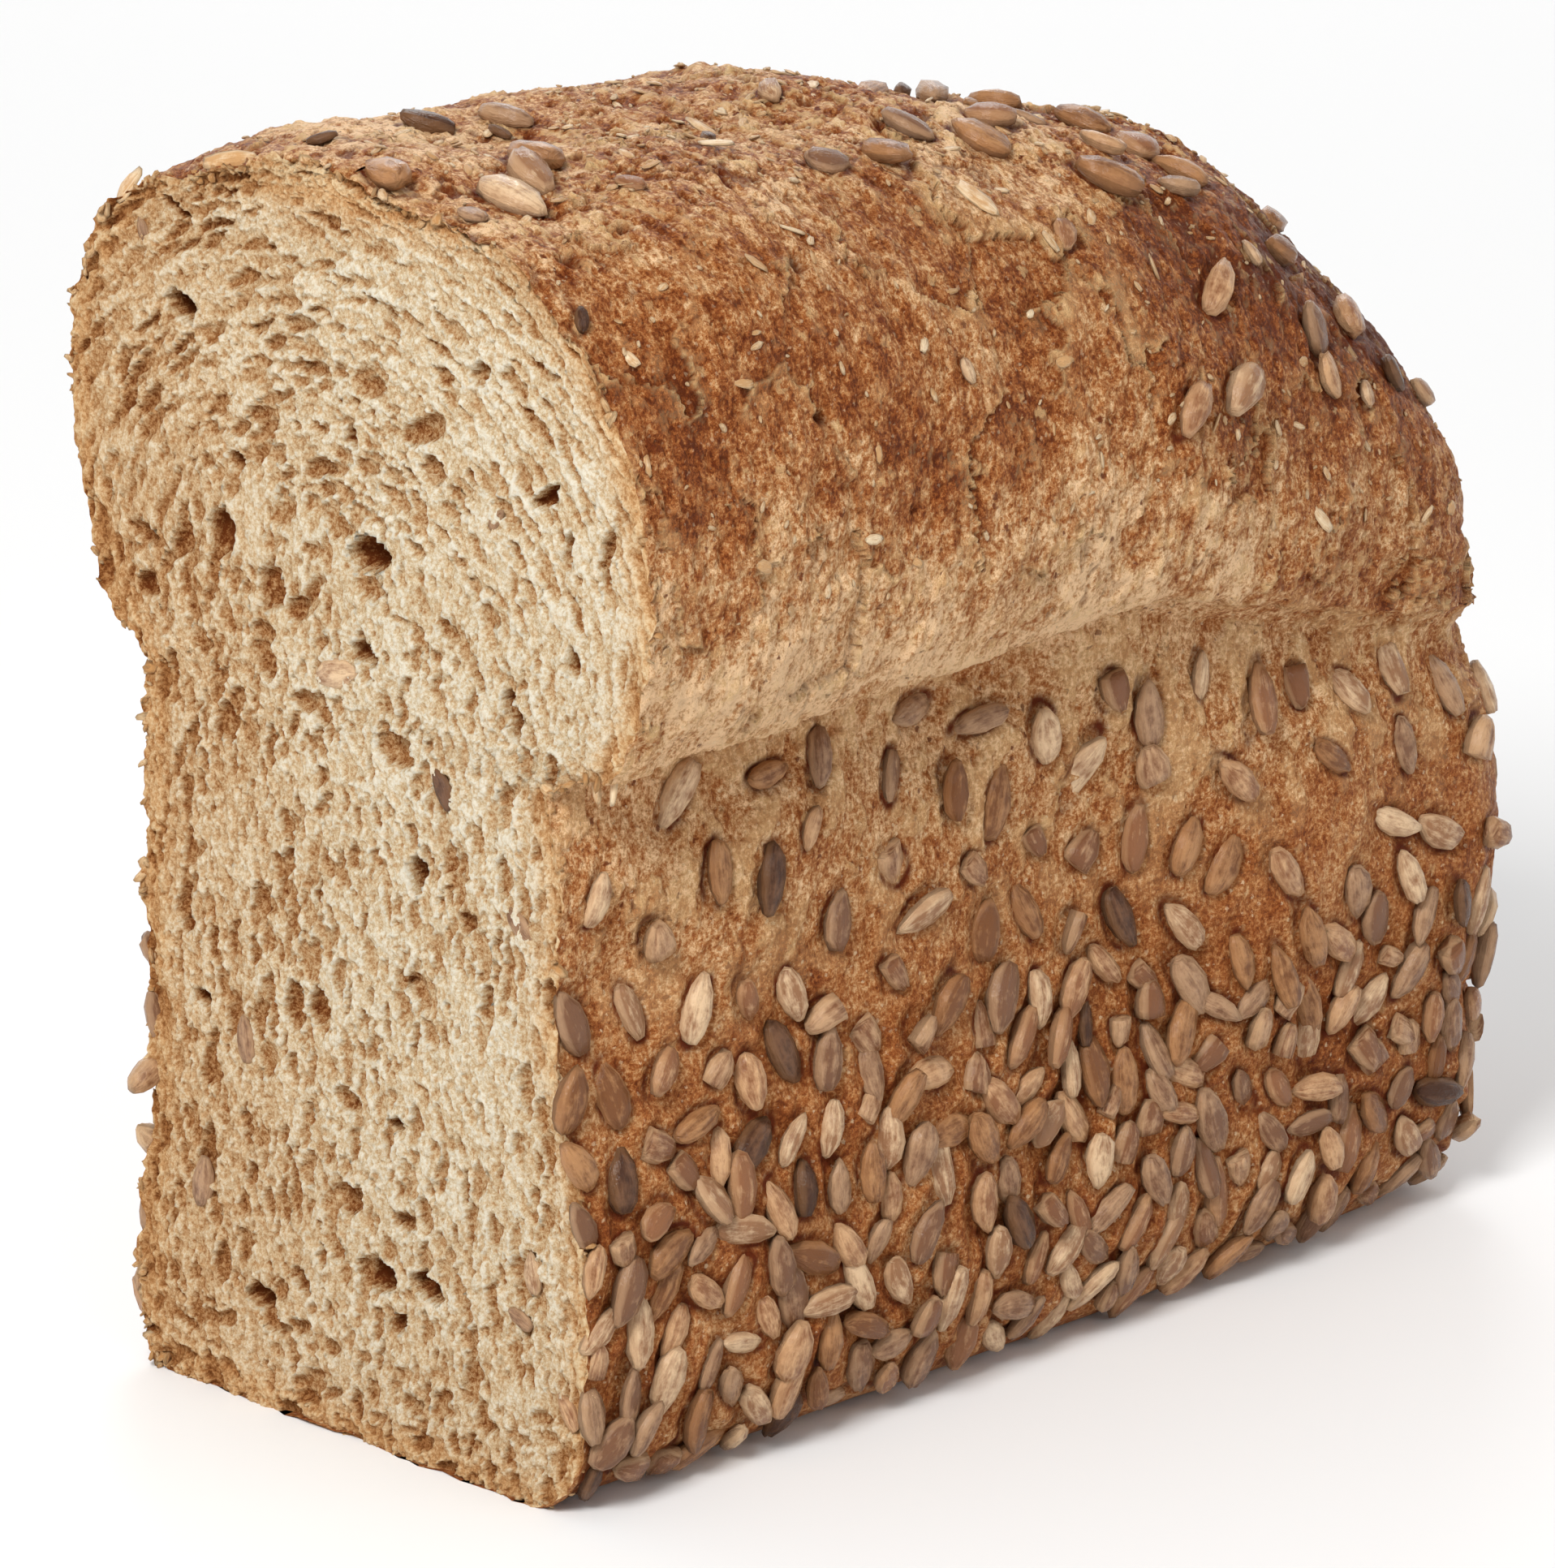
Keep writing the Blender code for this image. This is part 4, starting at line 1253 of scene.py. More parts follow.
def build_shell():
    """The crust with its relief, the kernels seated on it, and the values stored on it: how
    far it has browned, how pale, with a painted highlight on plate rims, its painted shade,
    how far patterns are drawn out along the profile, which fades at the spine, and how
    strongly mottling and painted glints show."""
    rows, starts = profile_rows()
    columns = outline_columns()
    v = rows[None, :]
    grid = crust(columns[:, None], v)
    sheet = sheet_places(grid)
    fade = ramp("off the spine", 1 - v) + 0 * columns[:, None]
    on_crown = ramp("on the crown", v)
    skin, pale, dark, browned = crown_skin(grid, v, sheet, fade)
    wall, torn_skin = wall_relief(grid, sheet)
    relief = wall * (1 - on_crown) + skin * on_crown
    bake = crust_bake(grid, sheet, v, relief, fade) + browned * on_crown
    kernels = all_kernels()
    # gap carries painted shade: beside kernels, and from the crown's skin at plate feet, in
    # cracks and in hollows
    gap = np.maximum(set_kernels_in(kernels, grid, relief, columns, rows), dark * on_crown)
    press_holes(grid, relief, gap)
    relief = relief * ramp("off the base", grid[..., 2])
    points = grid + grid_normals(grid) * (relief * MM)[..., None]
    odd = np.arange(1, SIDE_COLUMNS, 2)
    points[odd, -1] = (points[odd - 1, -1] + points[odd + 1, -1]) / 2
    ruffle_cut(grid, columns, points)

    where = {
        "all": 1 + 0 * fade,
        "crown": on_crown,
        "ridge": ramp("ridge", v),
        "upper wall": ramp("upper wall", grid[..., 2]) * (1 - on_crown),
    }
    values = {
        "bake": bake,
        "pale": pale * on_crown + TORN_PALE * torn_skin * (1 - on_crown),
        "gap": gap,
        "drawn": fade,
        "mottled": mixed(MOTTLED, where),
        "glinting": mixed(GLINTING, where),
    }
    return starts, columns, points, sheet, values, kernels


def grid_faces(columns, rows):
    """Quads of a grid stored column by column, wound so that they face outwards."""
    index = np.arange(columns * rows).reshape(columns, rows)
    quads = np.stack([index[:-1, :-1], index[1:, :-1], index[1:, 1:], index[:-1, 1:]], axis=-1)
    return quads.reshape(-1, 4)


def mesh_piece(name, points, faces, material, values, uv):
    """A smooth-shaded mesh from arrays, riding on the loaf and standing for its solid, with
    a UV and named values stored at its points. The faces are a list of index arrays, one
    for each number of corners."""
    corners = np.concatenate([part.ravel() for part in faces]).astype(np.int32)
    sizes = np.concatenate([np.full(len(part), part.shape[1]) for part in faces])
    mesh = bpy.data.meshes.new(name)
    points = np.asarray(points, np.float32).reshape(-1, 3)
    mesh.vertices.add(len(points))
    mesh.vertices.foreach_set("co", points.ravel())
    mesh.loops.add(len(corners))
    mesh.loops.foreach_set("vertex_index", corners)
    mesh.polygons.add(len(sizes))
    mesh.polygons.foreach_set("loop_start", (np.cumsum(sizes) - sizes).astype(np.int32))
    mesh.polygons.foreach_set("use_smooth", np.ones(len(sizes), bool))
    mesh.update(calc_edges=True)
    for key, value in values.items():
        layer = mesh.attributes.new(key, "FLOAT", "POINT")
        layer.data.foreach_set("value", np.asarray(value, np.float32).ravel())
    layer = mesh.uv_layers.new(name="UVMap")
    flat = np.asarray(uv, np.float32).reshape(-1, 2)
    layer.data.foreach_set("uv", flat[corners].ravel())
    mesh.materials.append(material)
    piece = bpy.data.objects.new(name, mesh)
    bpy.context.scene.collection.objects.link(piece)
    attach(piece, "root")
    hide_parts("loaf")
    return piece


def crust_pieces(starts, columns, points, sheet, values, material):
    """The crust cut into pieces: five bands up the profile in each of its three regions."""
    near, heel = SIDE_COLUMNS, SIDE_COLUMNS + HEEL_COLUMNS
    marks = [starts[name] for name in ("base", "foot", "wall", "lip", "crown", "end")]
    bands = dict(zip(("base", "foot", "wall", "belly", "crown"), zip(marks, marks[1:])))
    regions = {"near": (0, near), "heel": (near, heel), "far": (heel, len(columns) - 1)}
    for region, (i0, i1) in regions.items():
        for band, (j0, j1) in bands.items():
            part = (slice(i0, i1 + 1), slice(j0, j1 + 1))
            faces = [grid_faces(i1 - i0 + 1, j1 - j0 + 1)]
            kept = {key: value[part] for key, value in values.items()}
            uv = sheet[part][..., :2] / MM
            name = f"crust_{region}_{band}"
            mesh_piece(name, points[part], faces, material, kept, uv)


def box_blur(image, radius):
    """Mean over a square window, by running sums along each axis, done twice."""
    for axis in (0, 1, 0, 1):
        width = 2 * radius + 1
        pad = [(0, 0), (0, 0)]
        pad[axis] = (radius + 1, radius)
        total = np.cumsum(np.pad(image, pad, mode="edge"), axis=axis)
        count = total.shape[axis]
        upper = np.take(total, np.arange(width, count), axis=axis)
        lower = np.take(total, np.arange(0, count - width), axis=axis)
        image = (upper - lower) / width
    return image


def round_crown(y, z):
    """Length round the crown's centre, as measured at RING_REACH, and reach from it."""
    return np.arctan2(z - CROWN_CENTRE, y) * RING_REACH, np.hypot(y, z - CROWN_CENTRE)


def drawn_out(along, across, stretch):
    """Flat points whose pattern comes out drawn along the first measure."""
    return np.stack([stretch * along, across, 0 * across], axis=-1) + PLACE_SHIFT


def crumb_flow(y, z):
    """Direction in which the pores are drawn out at a place of the cut face, in radians
    from +Y: round the crown's centre above, upright beside the tin, level at the base."""
    around = np.arctan2(z - CROWN_CENTRE, y) + np.pi / 2
    above = ramp("flow above", z - CROWN_CENTRE)
    level = 1 - ramp("flow level", z)
    double_x = above * np.cos(2 * around) + (1 - above) * (2 * level - 1)
    double_y = above * np.sin(2 * around)
    return np.arctan2(double_y, double_x) / 2


def drawn_pores(draw, count, radii, power, slimness, depths, looseness):
    """Seeded pores: place, half length, half width, turn and depth. Their sizes follow a
    power law, and towards the crust they are flatter and follow the flow more closely."""
    low, high = (radius ** (1 - power) for radius in radii)
    radius = (low + draw.uniform(size=count) * (high - low)) ** (1 / (1 - power))
    y = draw.uniform(-CRUMB_HALF_WIDTH, CRUMB_HALF_WIDTH, count)
    z = draw.uniform(0, CRUMB_HEIGHT, count)
    above = np.maximum(z - CROWN_CENTRE, 0) * CROWN_SQUASH
    rim = np.clip(np.hypot(y, above) / PORE_RIM, 0, 1)
    slim = draw.uniform(*slimness, count) * (1 - SLIMMER * rim**2)
    turn = crumb_flow(y, z) + draw.normal(0, looseness, count) * (1 - STRICTER * rim)
    deep = radius * slim * draw.uniform(*depths, count)
    return np.stack([y, z, radius * (1 + LONGER * rim), radius * slim, turn, deep], axis=-1)


def crumb_strands(raster):
    """Strands of the crumb from -1 to 1, drawn out round the crown's centre above and
    upright beside the tin, and how strongly they show: most near the crust."""
    y, z = raster[..., 1], raster[..., 2]
    around, reach = round_crown(y, z)
    above = ramp("strands above", z - CROWN_CENTRE)
    rings = noise("rings", drawn_out(around, reach, STRAND_STRETCH))
    bars = noise("bars", drawn_out(z, y, STRAND_STRETCH))
    rim = np.where(above > 0.5, reach / RIM_REACH, np.abs(y) / RIM_WIDTH)
    torn = LEAST_TORN + (1 - LEAST_TORN) * np.clip(rim, 0, 1) ** 3
    return above * rings + (1 - above) * bars, torn


def foam(raster, ragged, size, stretch, seed):
    """How far the cells of the cut foam are open, from 0 to 1. They are drawn out along the
    crumb's flow: round the crown's centre in its outer part, upright elsewhere, with a soft
    change between. Some are closed, the others open as deep as their own number says, with
    thin walls standing between them."""
    y, z = raster[..., 1], raster[..., 2]
    around, reach = round_crown(y, z)
    above = ramp("foam above", z - CROWN_CENTRE - WANDER_UP * ragged)
    above = above * ramp("foam outside", reach - WANDER_OUT * ragged)
    opened = 0.0
    for weight, along, across in ((above, around, reach), (1 - above, z, y)):
        near, far, own, _ = cell_noise(drawn_out(along, across, stretch), size, seed)
        inside = ramp("foam wall", (far - near) * size / 2) * ramp("foam open", own)
        opened = np.maximum(opened, eased(FOAM_OVERLAP * weight) * inside)
    return opened


def press_pores(depth, y, z, y_warp, z_warp):
    """Press all pores into a raster of depths: each an ellipse in the warped coordinates,
    with a steep rim and a flat floor, no deeper than the deepest there."""
    draw = np.random.default_rng(PORE_SEED)
    large = np.array(PORES) * [MM, MM, MM / 2, MM / 2, np.pi / 180, MM]
    pores = [drawn_pores(draw, *FINE_PORES), drawn_pores(draw, *OPEN_PORES), large]
    for py, pz, a, b, angle, deepest in np.concatenate(pores):
        reach = max(a, b) + PORE_WARP
        i0, i1 = np.searchsorted(y, [py - reach, py + reach])
        j0, j1 = np.searchsorted(z, [pz - reach, pz + reach])
        if i1 - i0 < 2 or j1 - j0 < 2:
            continue
        dy, dz = y_warp[i0:i1, j0:j1] - py, z_warp[i0:i1, j0:j1] - pz
        along = (dy * np.cos(angle) + dz * np.sin(angle)) / a
        across = (dz * np.cos(angle) - dy * np.sin(angle)) / b
        pit = deepest * np.clip(1 - along**2 - across**2, 0, 1) ** PORE_STEEPNESS
        depth[i0:i1, j0:j1] = np.maximum(depth[i0:i1, j0:j1], pit)


def crumb_fields():
    """Depth of the crumb behind the cut plane on a fine raster, and how light it is: foam,
    with the pores pressed in over it, and on what stays flat between them nubs, clods and
    crumbs, torn into strands near the crust. Warped coordinates make all rims ragged. Nubs
    are light; ridges get a painted highlight, and pits and hollows, deeper ones more, painted
    shade."""
    y = np.arange(-CRUMB_HALF_WIDTH, CRUMB_HALF_WIDTH, CRUMB_GRAIN)
    z = np.arange(CRUMB_LOW, CRUMB_HEIGHT, CRUMB_GRAIN)
    raster = np.stack(np.broadcast_arrays(0.0, y[:, None], z[None, :]), axis=-1)
    y_warp = y[:, None] + PORE_WARP * noise("pore warp y", raster)
    z_warp = z[None, :] + PORE_WARP * noise("pore warp z", raster)
    bent = np.stack(np.broadcast_arrays(0.0, y_warp, z_warp), axis=-1)
    ragged = noise("foam rags", raster)
    depth = MM * np.maximum(*(deep * foam(bent, ragged, *kind) for *kind, deep in FOAMS))
    press_pores(depth, y, z, y_warp, z_warp)

    pit = ramp("in a pore", depth)
    flat = 1 - pit
    nubs, clods = (1 - NUB_STEEPNESS * cell_noise(bent, *kind)[0] for kind in NUBS)
    strands, torn = crumb_strands(bent)
    grain = noise("crumb grain", raster)
    layers = {"strands": strands * torn, "crumbs": noise("crumbs", bent)}
    bits = ramp("crumb bits", mixed(CRUMB_BITS, layers)) - 0.5
    layers |= {
        "all": 1,
        "pit": pit,
        "depth": depth / MM,
        "nubs": nubs * flat,
        "clods": clods * flat,
        "bits": bits * flat,
        "flat grain": grain * flat,
        "grain": grain,
        "swell": noise("crumb swell", raster),
    }
    depth = depth - MM * mixed(CRUMB_RELIEF, layers)
    # ridges lighter and hollows darker: painted highlight and painted shade
    layers["ridge"] = (box_blur(depth, CRUMB_BLUR) - depth) / MM
    return y, z, depth, np.clip(mixed(CRUMB_TONE, layers), 0, 1)


def sample(y_axis, z_axis, image, y, z):
    """Bilinear reading of a raster at places of the cut face."""
    i = np.clip((y - y_axis[0]) / CRUMB_GRAIN, 0, len(y_axis) - 1.001)
    j = np.clip((z - z_axis[0]) / CRUMB_GRAIN, 0, len(z_axis) - 1.001)
    i0, j0 = i.astype(int), j.astype(int)
    a, b = i - i0, j - j0
    low = image[i0, j0] * (1 - b) + image[i0, j0 + 1] * b
    high = image[i0 + 1, j0] * (1 - b) + image[i0 + 1, j0 + 1] * b
    return low * (1 - a) + high * a


def evened_heights(height, to_side):
    """Heights of the cut face's rows, evened where they stand close together beside the
    lip: there, away from the sides, their mean over a window of rows takes over."""
    beside = EVENED_ROWS // 2
    padded = np.pad(height, ((0, 0), (beside, beside)), mode="edge")
    window = np.full(EVENED_ROWS, 1 / EVENED_ROWS)
    mean = np.apply_along_axis(np.convolve, 1, padded, window, "valid")
    share = ramp("off the lip's level", -np.abs(height - LIP_LEVEL))
    return height + (mean - height) * share * ramp("into the crumb", to_side)


def crumb_pieces(starts, points, bare, shift, material):
    """The cut face: straight rows from the near edge of the bare crust to the far one, evened
    beside the lip, drawn out to the ragged edge at both ends and pushed back by the pores.
    It is golden along the rim, and a little towards the far side and the base. It is made in
    three pieces, one over the other."""
    near, far = bare[0, starts["foot"]:] + shift, bare[-1, starts["foot"]:] + shift
    share = np.linspace(0, 1, CRUMB_COLUMNS + 1)[:, None, None]
    width = np.linalg.norm(near - far, axis=-1)[None, :, None]
    grid = far + (near - far) * share
    for end, edge, gap in ((near, points[0], 1 - share), (far, points[-1], share)):
        pull = np.exp(-gap * width / EDGE_REACH) * (gap < 0.5)
        grid = grid + (edge[starts["foot"]:] - end) * pull
    to_side = np.minimum(share, 1 - share)[..., 0] * width[..., 0]
    grid[..., 2] = evened_heights(grid[..., 2], to_side)

    y_axis, z_axis, depth, tone = crumb_fields()
    y, z = grid[..., 1] - shift[1], grid[..., 2]
    free = ramp("behind the rim", to_side)
    push = sample(y_axis, z_axis, depth, y, z)
    grid[..., 0] = grid[..., 0] * (1 - free) + free * (shift[0] - LENGTH / 2 + push)

    to_top = (ridge_height(-LENGTH / 2) - z) * TOP_CLOSER
    to_edge = np.minimum(to_side, np.minimum(z, to_top).clip(0))
    golden = bell(to_edge, *GOLDEN_RIM) + GOLDEN_SPREAD * np.exp(-to_edge / GOLDEN_REACH)
    far_side = FAR_GOLD * ramp("far side", y) + LOW_GOLD * (1 - ramp("low down", z))
    edge = np.clip(golden + far_side, 0, 1)
    tone = sample(y_axis, z_axis, tone, y, z) - RIM_DARKER * edge - FAR_DARKER * far_side
    uv = np.stack([y, z], axis=-1) / MM
    third = grid.shape[1] // 3
    ends = (0, third, 2 * third, grid.shape[1] - 1)
    for number, (j0, j1) in enumerate(zip(ends, ends[1:])):
        part = (slice(None), slice(j0, j1 + 1))
        kept = {"tone": tone[part], "edge": edge[part]}
        faces = [grid_faces(CRUMB_COLUMNS + 1, j1 - j0 + 1)]
        mesh_piece(f"crumb_{number}", grid[part], faces, material, kept, uv[part])


def kernel_shape(sides, rings, broken=False):
    """A kernel of unit size along X: girth is a drop, round at the start, widest before the
    middle and drawn to a point at the end, or cut off where broken. Also its UV and how
    near each point is to the seam round its edge."""
    rings = np.array(rings) * (STUB if broken else 1.0)
    turn = np.linspace(0, 2 * np.pi, sides, endpoint=False)
    cosine, sine = np.cos(turn), np.sin(turn)
    blunt = np.sqrt(np.clip(1 - (1 - rings / WIDEST) ** 2, 0, 1))
    past = np.clip((rings - WIDEST) / (1 - WIDEST), 0, 1)
    girth = np.where(rings < WIDEST, blunt, (1 - past ** DRAWN_IN[0]) ** DRAWN_IN[1])
    x = np.repeat(rings - 0.5, sides)
    y = np.outer(girth, cosine).ravel() / 2
    rounded = np.sign(sine) * np.abs(sine) ** THICKNESS[1]
    z = np.outer(girth ** THICKNESS[0], rounded).ravel() / 2
    last = rings[-1] + (STUMP if broken else TIP)
    points = np.concatenate([np.stack([x, y, z], axis=-1), [[-0.5, 0, 0], [last - 0.5, 0, 0]]])
    uv = np.stack([np.repeat(rings, sides), np.tile(turn / (2 * np.pi), len(rings))], axis=-1)
    uv = np.concatenate([uv, [[0, 0.5], [1, 0.5]]])
    seam = np.tile(np.abs(cosine), len(rings))
    ends = np.repeat(np.abs(2 * rings - END_PLACE) ** END_POWER, sides)
    edge = np.concatenate([np.maximum(seam, ends), [1.0, 1.0]])
    here = np.arange(sides)
    after = (here + 1) % sides
    top = (len(rings) - 1) * sides
    ring_start = (np.arange(len(rings) - 1) * sides)[:, None]
    a, b = ring_start + here, ring_start + after
    quads = np.stack([a, b, b + sides, a + sides], axis=-1).reshape(-1, 4)
    blunt_end = np.stack([0 * here + len(points) - 2, after, here], axis=-1)
    tip = np.stack([0 * here + len(points) - 1, top + here, top + after], axis=-1)
    return points, [quads, np.concatenate([blunt_end, tip])], uv, edge


def joined_shapes(name, shape, centre, axes, size, flip, tone, wobble, seed, material):
    """One mesh of many copies of a shape, each with its own axes, size, small dents, bend
    and tone."""
    points, faces, uv, edge = shape
    draw = np.random.default_rng(seed)
    count, corners = len(centre), len(points)
    local = points * size[:, None] * (1 + draw.uniform(-wobble, wobble, (count, corners, 1)))
    bend = draw.uniform(-KERNEL_BEND, KERNEL_BEND, (count, 2)) * size[:, 1:]
    local[..., 1:] += bend[:, None] * (2 * points[:, :1]) ** 2
    local[..., 0] *= flip[:, None]
    placed = np.einsum("kpa,kax->kpx", local, axes) + centre[:, None]
    placed[..., 2] = np.maximum(placed[..., 2], 0)
    first = (np.arange(count) * corners)[:, None, None]
    joined = []
    for part in faces:
        winding = np.where(flip[:, None, None] < 0, part[None, :, ::-1], part[None])
        joined.append((winding + first).reshape(-1, part.shape[1]))
    shifts = draw.uniform(0, UV_SHIFTS, (count, 2)).round()
    tiled = np.tile(uv, (count, 1)) + np.repeat(shifts, corners, axis=0)
    values = {"own": np.repeat(tone, corners), "edge": np.tile(edge, count)}
    mesh_piece(name, placed, joined, material, values, tiled)


def add_cut_kernels(kernels, shift):
    """Append the kernels bared by the knife, which lie flat in the cut face."""
    across, height, turn, size = np.array([entry[:4] for entry in CUT_KERNELS]).T
    x = 0 * across - LENGTH / 2 + CUT_KERNEL_OUT
    turn = np.radians(turn)
    along = np.stack([0 * turn, np.sin(turn), np.cos(turn)], axis=-1)
    flat = np.tile([-1.0, 0.0, 0.0], (len(turn), 1))
    added = {
        "centre": np.stack([x, across * MM, height * MM], axis=-1) + shift,
        "along": along,
        "flat": flat,
        "side": np.cross(flat, along),
        "size": KERNEL_SIZE * CUT_KERNEL_SHAPE * size[:, None],
        "flip": np.ones(len(turn)),
        "tone": np.full(len(turn), CUT_KERNEL_TONE),
        "kind": [entry[4] for entry in CUT_KERNELS],
    }
    for name, more in added.items():
        setattr(kernels, name, np.concatenate([getattr(kernels, name), more]))


def kernel_pieces(kernels):
    """One joined mesh of kernels for each kind."""
    for number, name in enumerate(KINDS):
        chosen = np.flatnonzero(kernels.kind == name)
        shape = kernel_shape(KERNEL_SIDES, KERNEL_RINGS, name == "broken")
        axes = np.stack([kernels.along, kernels.side, kernels.flat], axis=1)[chosen]
        centre = kernels.centre[chosen]
        centre[:, 2] = np.maximum(centre[:, 2], LOWEST_KERNEL)
        joined_shapes(
            f"kernels_{name}", shape, centre, axes, kernels.size[chosen], kernels.flip[chosen],
            kernels.tone[chosen], KERNEL_WOBBLE, KERNEL_SHAPE_SEED + number,
            kernel_material(f"kernel_{name}", name, "kernel"),
        )


def chips(points, starts, material):
    """Torn bits of crumb and skin along the rim of the cut: flat ragged shapes that stand
    off the edge of the crust at all angles, most on the far side."""
    draw = np.random.default_rng(CHIP_SEED)
    near = draw.uniform(size=CHIPS) < NEAR_CHIPS
    row = draw.integers(starts["foot"] + CHIP_FIRST, starts["end"] - CHIP_LAST, CHIPS)
    edge = np.where(near[:, None], points[0, row], points[-1, row])
    outward = unit((edge - [edge[0, 0], 0, CHIP_MIDDLE]) * [0, 1, 1])
    size = draw.uniform(CHIP_LEAST, 1, (CHIPS, 1)) ** 2 * CHIP_SIZE
    along = unit(outward + CHIP_ASKEW * draw.normal(size=(CHIPS, 3)))
    flat = unit(np.cross(along, draw.normal(size=(CHIPS, 3))))
    axes = np.stack([along, np.cross(flat, along), flat], axis=1)
    centre = edge + outward * draw.uniform(*CHIP_OUT, (CHIPS, 1)) * MM
    centre[:, 0] += draw.uniform(*CHIP_BACK, CHIPS) * MM
    tone = draw.uniform(0, 1, CHIPS)
    joined_shapes(
        "chips", kernel_shape(CHIP_SIDES, CHIP_RINGS), centre, axes, size, np.ones(CHIPS), tone,
        CHIP_WOBBLE, CHIP_SHAPE_SEED, material,
    )


def crown_flakes(draw, points, columns):
    """Flakes on the crown: the named ones and many small scraps, most along its ridge. Each
    lies on the crust, tilted and lifted a little. Centres, directions, and sizes in mm."""
    u, v, turn, length, width = np.array(CROWN_FLAKES).T
    more_u, chance, more_turn, grown, slim = draw.uniform(size=(5, SCATTERED_FLAKES))
    u = np.append(u, 3 * more_u)
    v = np.append(v, FLAKE_TOP - FLAKE_SPAN * chance**FLAKE_CROWDING)
    turn = np.radians(np.append(turn, 180 * more_turn))[:, None]
    grown = SCRAP_LENGTH + SCRAP_GROWTH * grown**3
    length = np.append(length, grown)
    width = np.append(width, grown * (SCRAP_WIDTH[0] + SCRAP_WIDTH[1] * slim))
    _, normal, upward = crust_frame(u, v)
    seat = points[np.searchsorted(columns, u), np.searchsorted(profile_rows()[0], v)]
    flat = unit(normal + draw.normal(0, FLAKE_TILT, (len(u), 3)))
    along = np.cos(turn) * upward + np.sin(turn) * np.cross(normal, upward)
    centre = seat + normal * draw.uniform(*FLAKE_LIFT, (len(u), 1)) * MM
    sizes = np.stack([length, width, FLAKE_THICK + FLAKE_THICKEN * length], axis=-1)
    return centre, squared(along, flat), flat, sizes


def rim_flakes(points):
    """Flakes that stand off the rim of the cut or hang from it, facing away from the loaf.
    Centres, directions, and sizes in mm, as for the crown's."""
    y, z, angle, length, width = np.array(RIM_FLAKES).T
    angle = np.radians(angle)
    middle = (points[0, :, 1].min() + points[-1, :, 1].max()) / 2
    x = 0 * y + points[0, 0, 0] + RIM_FLAKE_BACK
    centre = np.stack([x, y * MM + middle, z * MM], axis=-1)
    along = unit(np.stack([0 * y + RIM_FLAKE_LEAN, np.cos(angle), np.sin(angle)], axis=-1))
    flat = squared(np.tile(RIM_FLAKE_FACING, (len(y), 1)), along)
    return centre, along, flat, np.stack([length, width, 0 * y + RIM_THICK], axis=-1)


def flakes(points, columns, material):
    """Thin flakes of husk and oat, on the crown and at the rim of the cut."""
    draw = np.random.default_rng(FLAKE_SEED)
    both = zip(crown_flakes(draw, points, columns), rim_flakes(points))
    centre, along, flat, sizes = (np.concatenate(pair) for pair in both)
    axes = np.stack([along, np.cross(flat, along), flat], axis=1)
    tone = draw.uniform(0, 1, len(sizes))
    joined_shapes(
        "flakes", kernel_shape(FLAKE_SIDES, FLAKE_RINGS), centre, axes, sizes * MM,
        np.ones(len(sizes)), tone, FLAKE_WOBBLE, FLAKE_SHAPE_SEED, material,
    )


def add_node(tree, kind, **inputs):
    """A shader node with some of its inputs set or linked."""
    node = tree.nodes.new(kind)
    for key, value in inputs.items():
        connect(tree, node.inputs[key.replace("_", " ")], value)
    return node


def connect(tree, socket, value):
    """Link a socket to another node's, or set it to a value."""
    if isinstance(value, bpy.types.NodeSocket):
        tree.links.new(value, socket)
    else:
        socket.default_value = value


def scaled(tree, value, factor, offset, clamp=False):
    """A value times a factor plus an offset."""
    node = tree.nodes.new("ShaderNodeMath")
    node.operation = "MULTIPLY_ADD"
    node.use_clamp = clamp
    for socket, item in zip(node.inputs, (value, factor, offset)):
        connect(tree, socket, item)
    return node.outputs[0]


def product(tree, first, second):
    """The product of two values."""
    return scaled(tree, first, second, 0.0)


def summed(tree, *values):
    """The sum of several values."""
    total = values[0]
    for value in values[1:]:
        total = scaled(tree, total, 1.0, value)
    return total


def stored(tree, name):
    """The value stored at the mesh's points under a name."""
    node = tree.nodes.new("ShaderNodeAttribute")
    node.attribute_name = name
    return node.outputs["Fac"]


def pattern(tree, name):
    """A noise of PATTERNS, from 0 to 1: on object coordinates, or on the UV if it has a
    stretch of its own."""
    size, detail, roughness, *stretch = PATTERNS[name]
    if stretch:
        place = tree.nodes.new("ShaderNodeUVMap").outputs[0]
    else:
        place = tree.nodes.new("ShaderNodeTexCoord").outputs["Object"]
    scale = stretch[0] if stretch else (1, 1, 1)
    mapping = add_node(tree, "ShaderNodeMapping", Vector=place, Scale=scale).outputs[0]
    noise = add_node(
        tree, "ShaderNodeTexNoise", Vector=mapping, Scale=1 / size, Detail=detail,
        Roughness=roughness,
    )
    return noise.outputs[0]


def clamped(tree, value, factor=1.0, offset=0.0):
    """A value times a factor plus an offset, held between 0 and 1."""
    return scaled(tree, value, factor, offset, clamp=True)


def spots(tree, name, noise):
    """Noise turned into spots with steep edges, from minus to plus half their strength."""
    sharpness, strength = SPOTS[name]
    steep = clamped(tree, noise, sharpness, 0.5 - 0.5 * sharpness)
    return scaled(tree, steep, strength, -0.5 * strength)


def colour_ramp(tree, factor, stops):
    """A colour chosen by a factor from stops of (place, linear colour)."""
    node = add_node(tree, "ShaderNodeValToRGB", Fac=factor)
    ramp = node.color_ramp
    while len(ramp.elements) < len(stops):
        ramp.elements.new(0.5)
    for element, (place, colour) in zip(ramp.elements, stops):
        element.position = place
        element.color = (*colour, 1.0)
    return node.outputs[0]


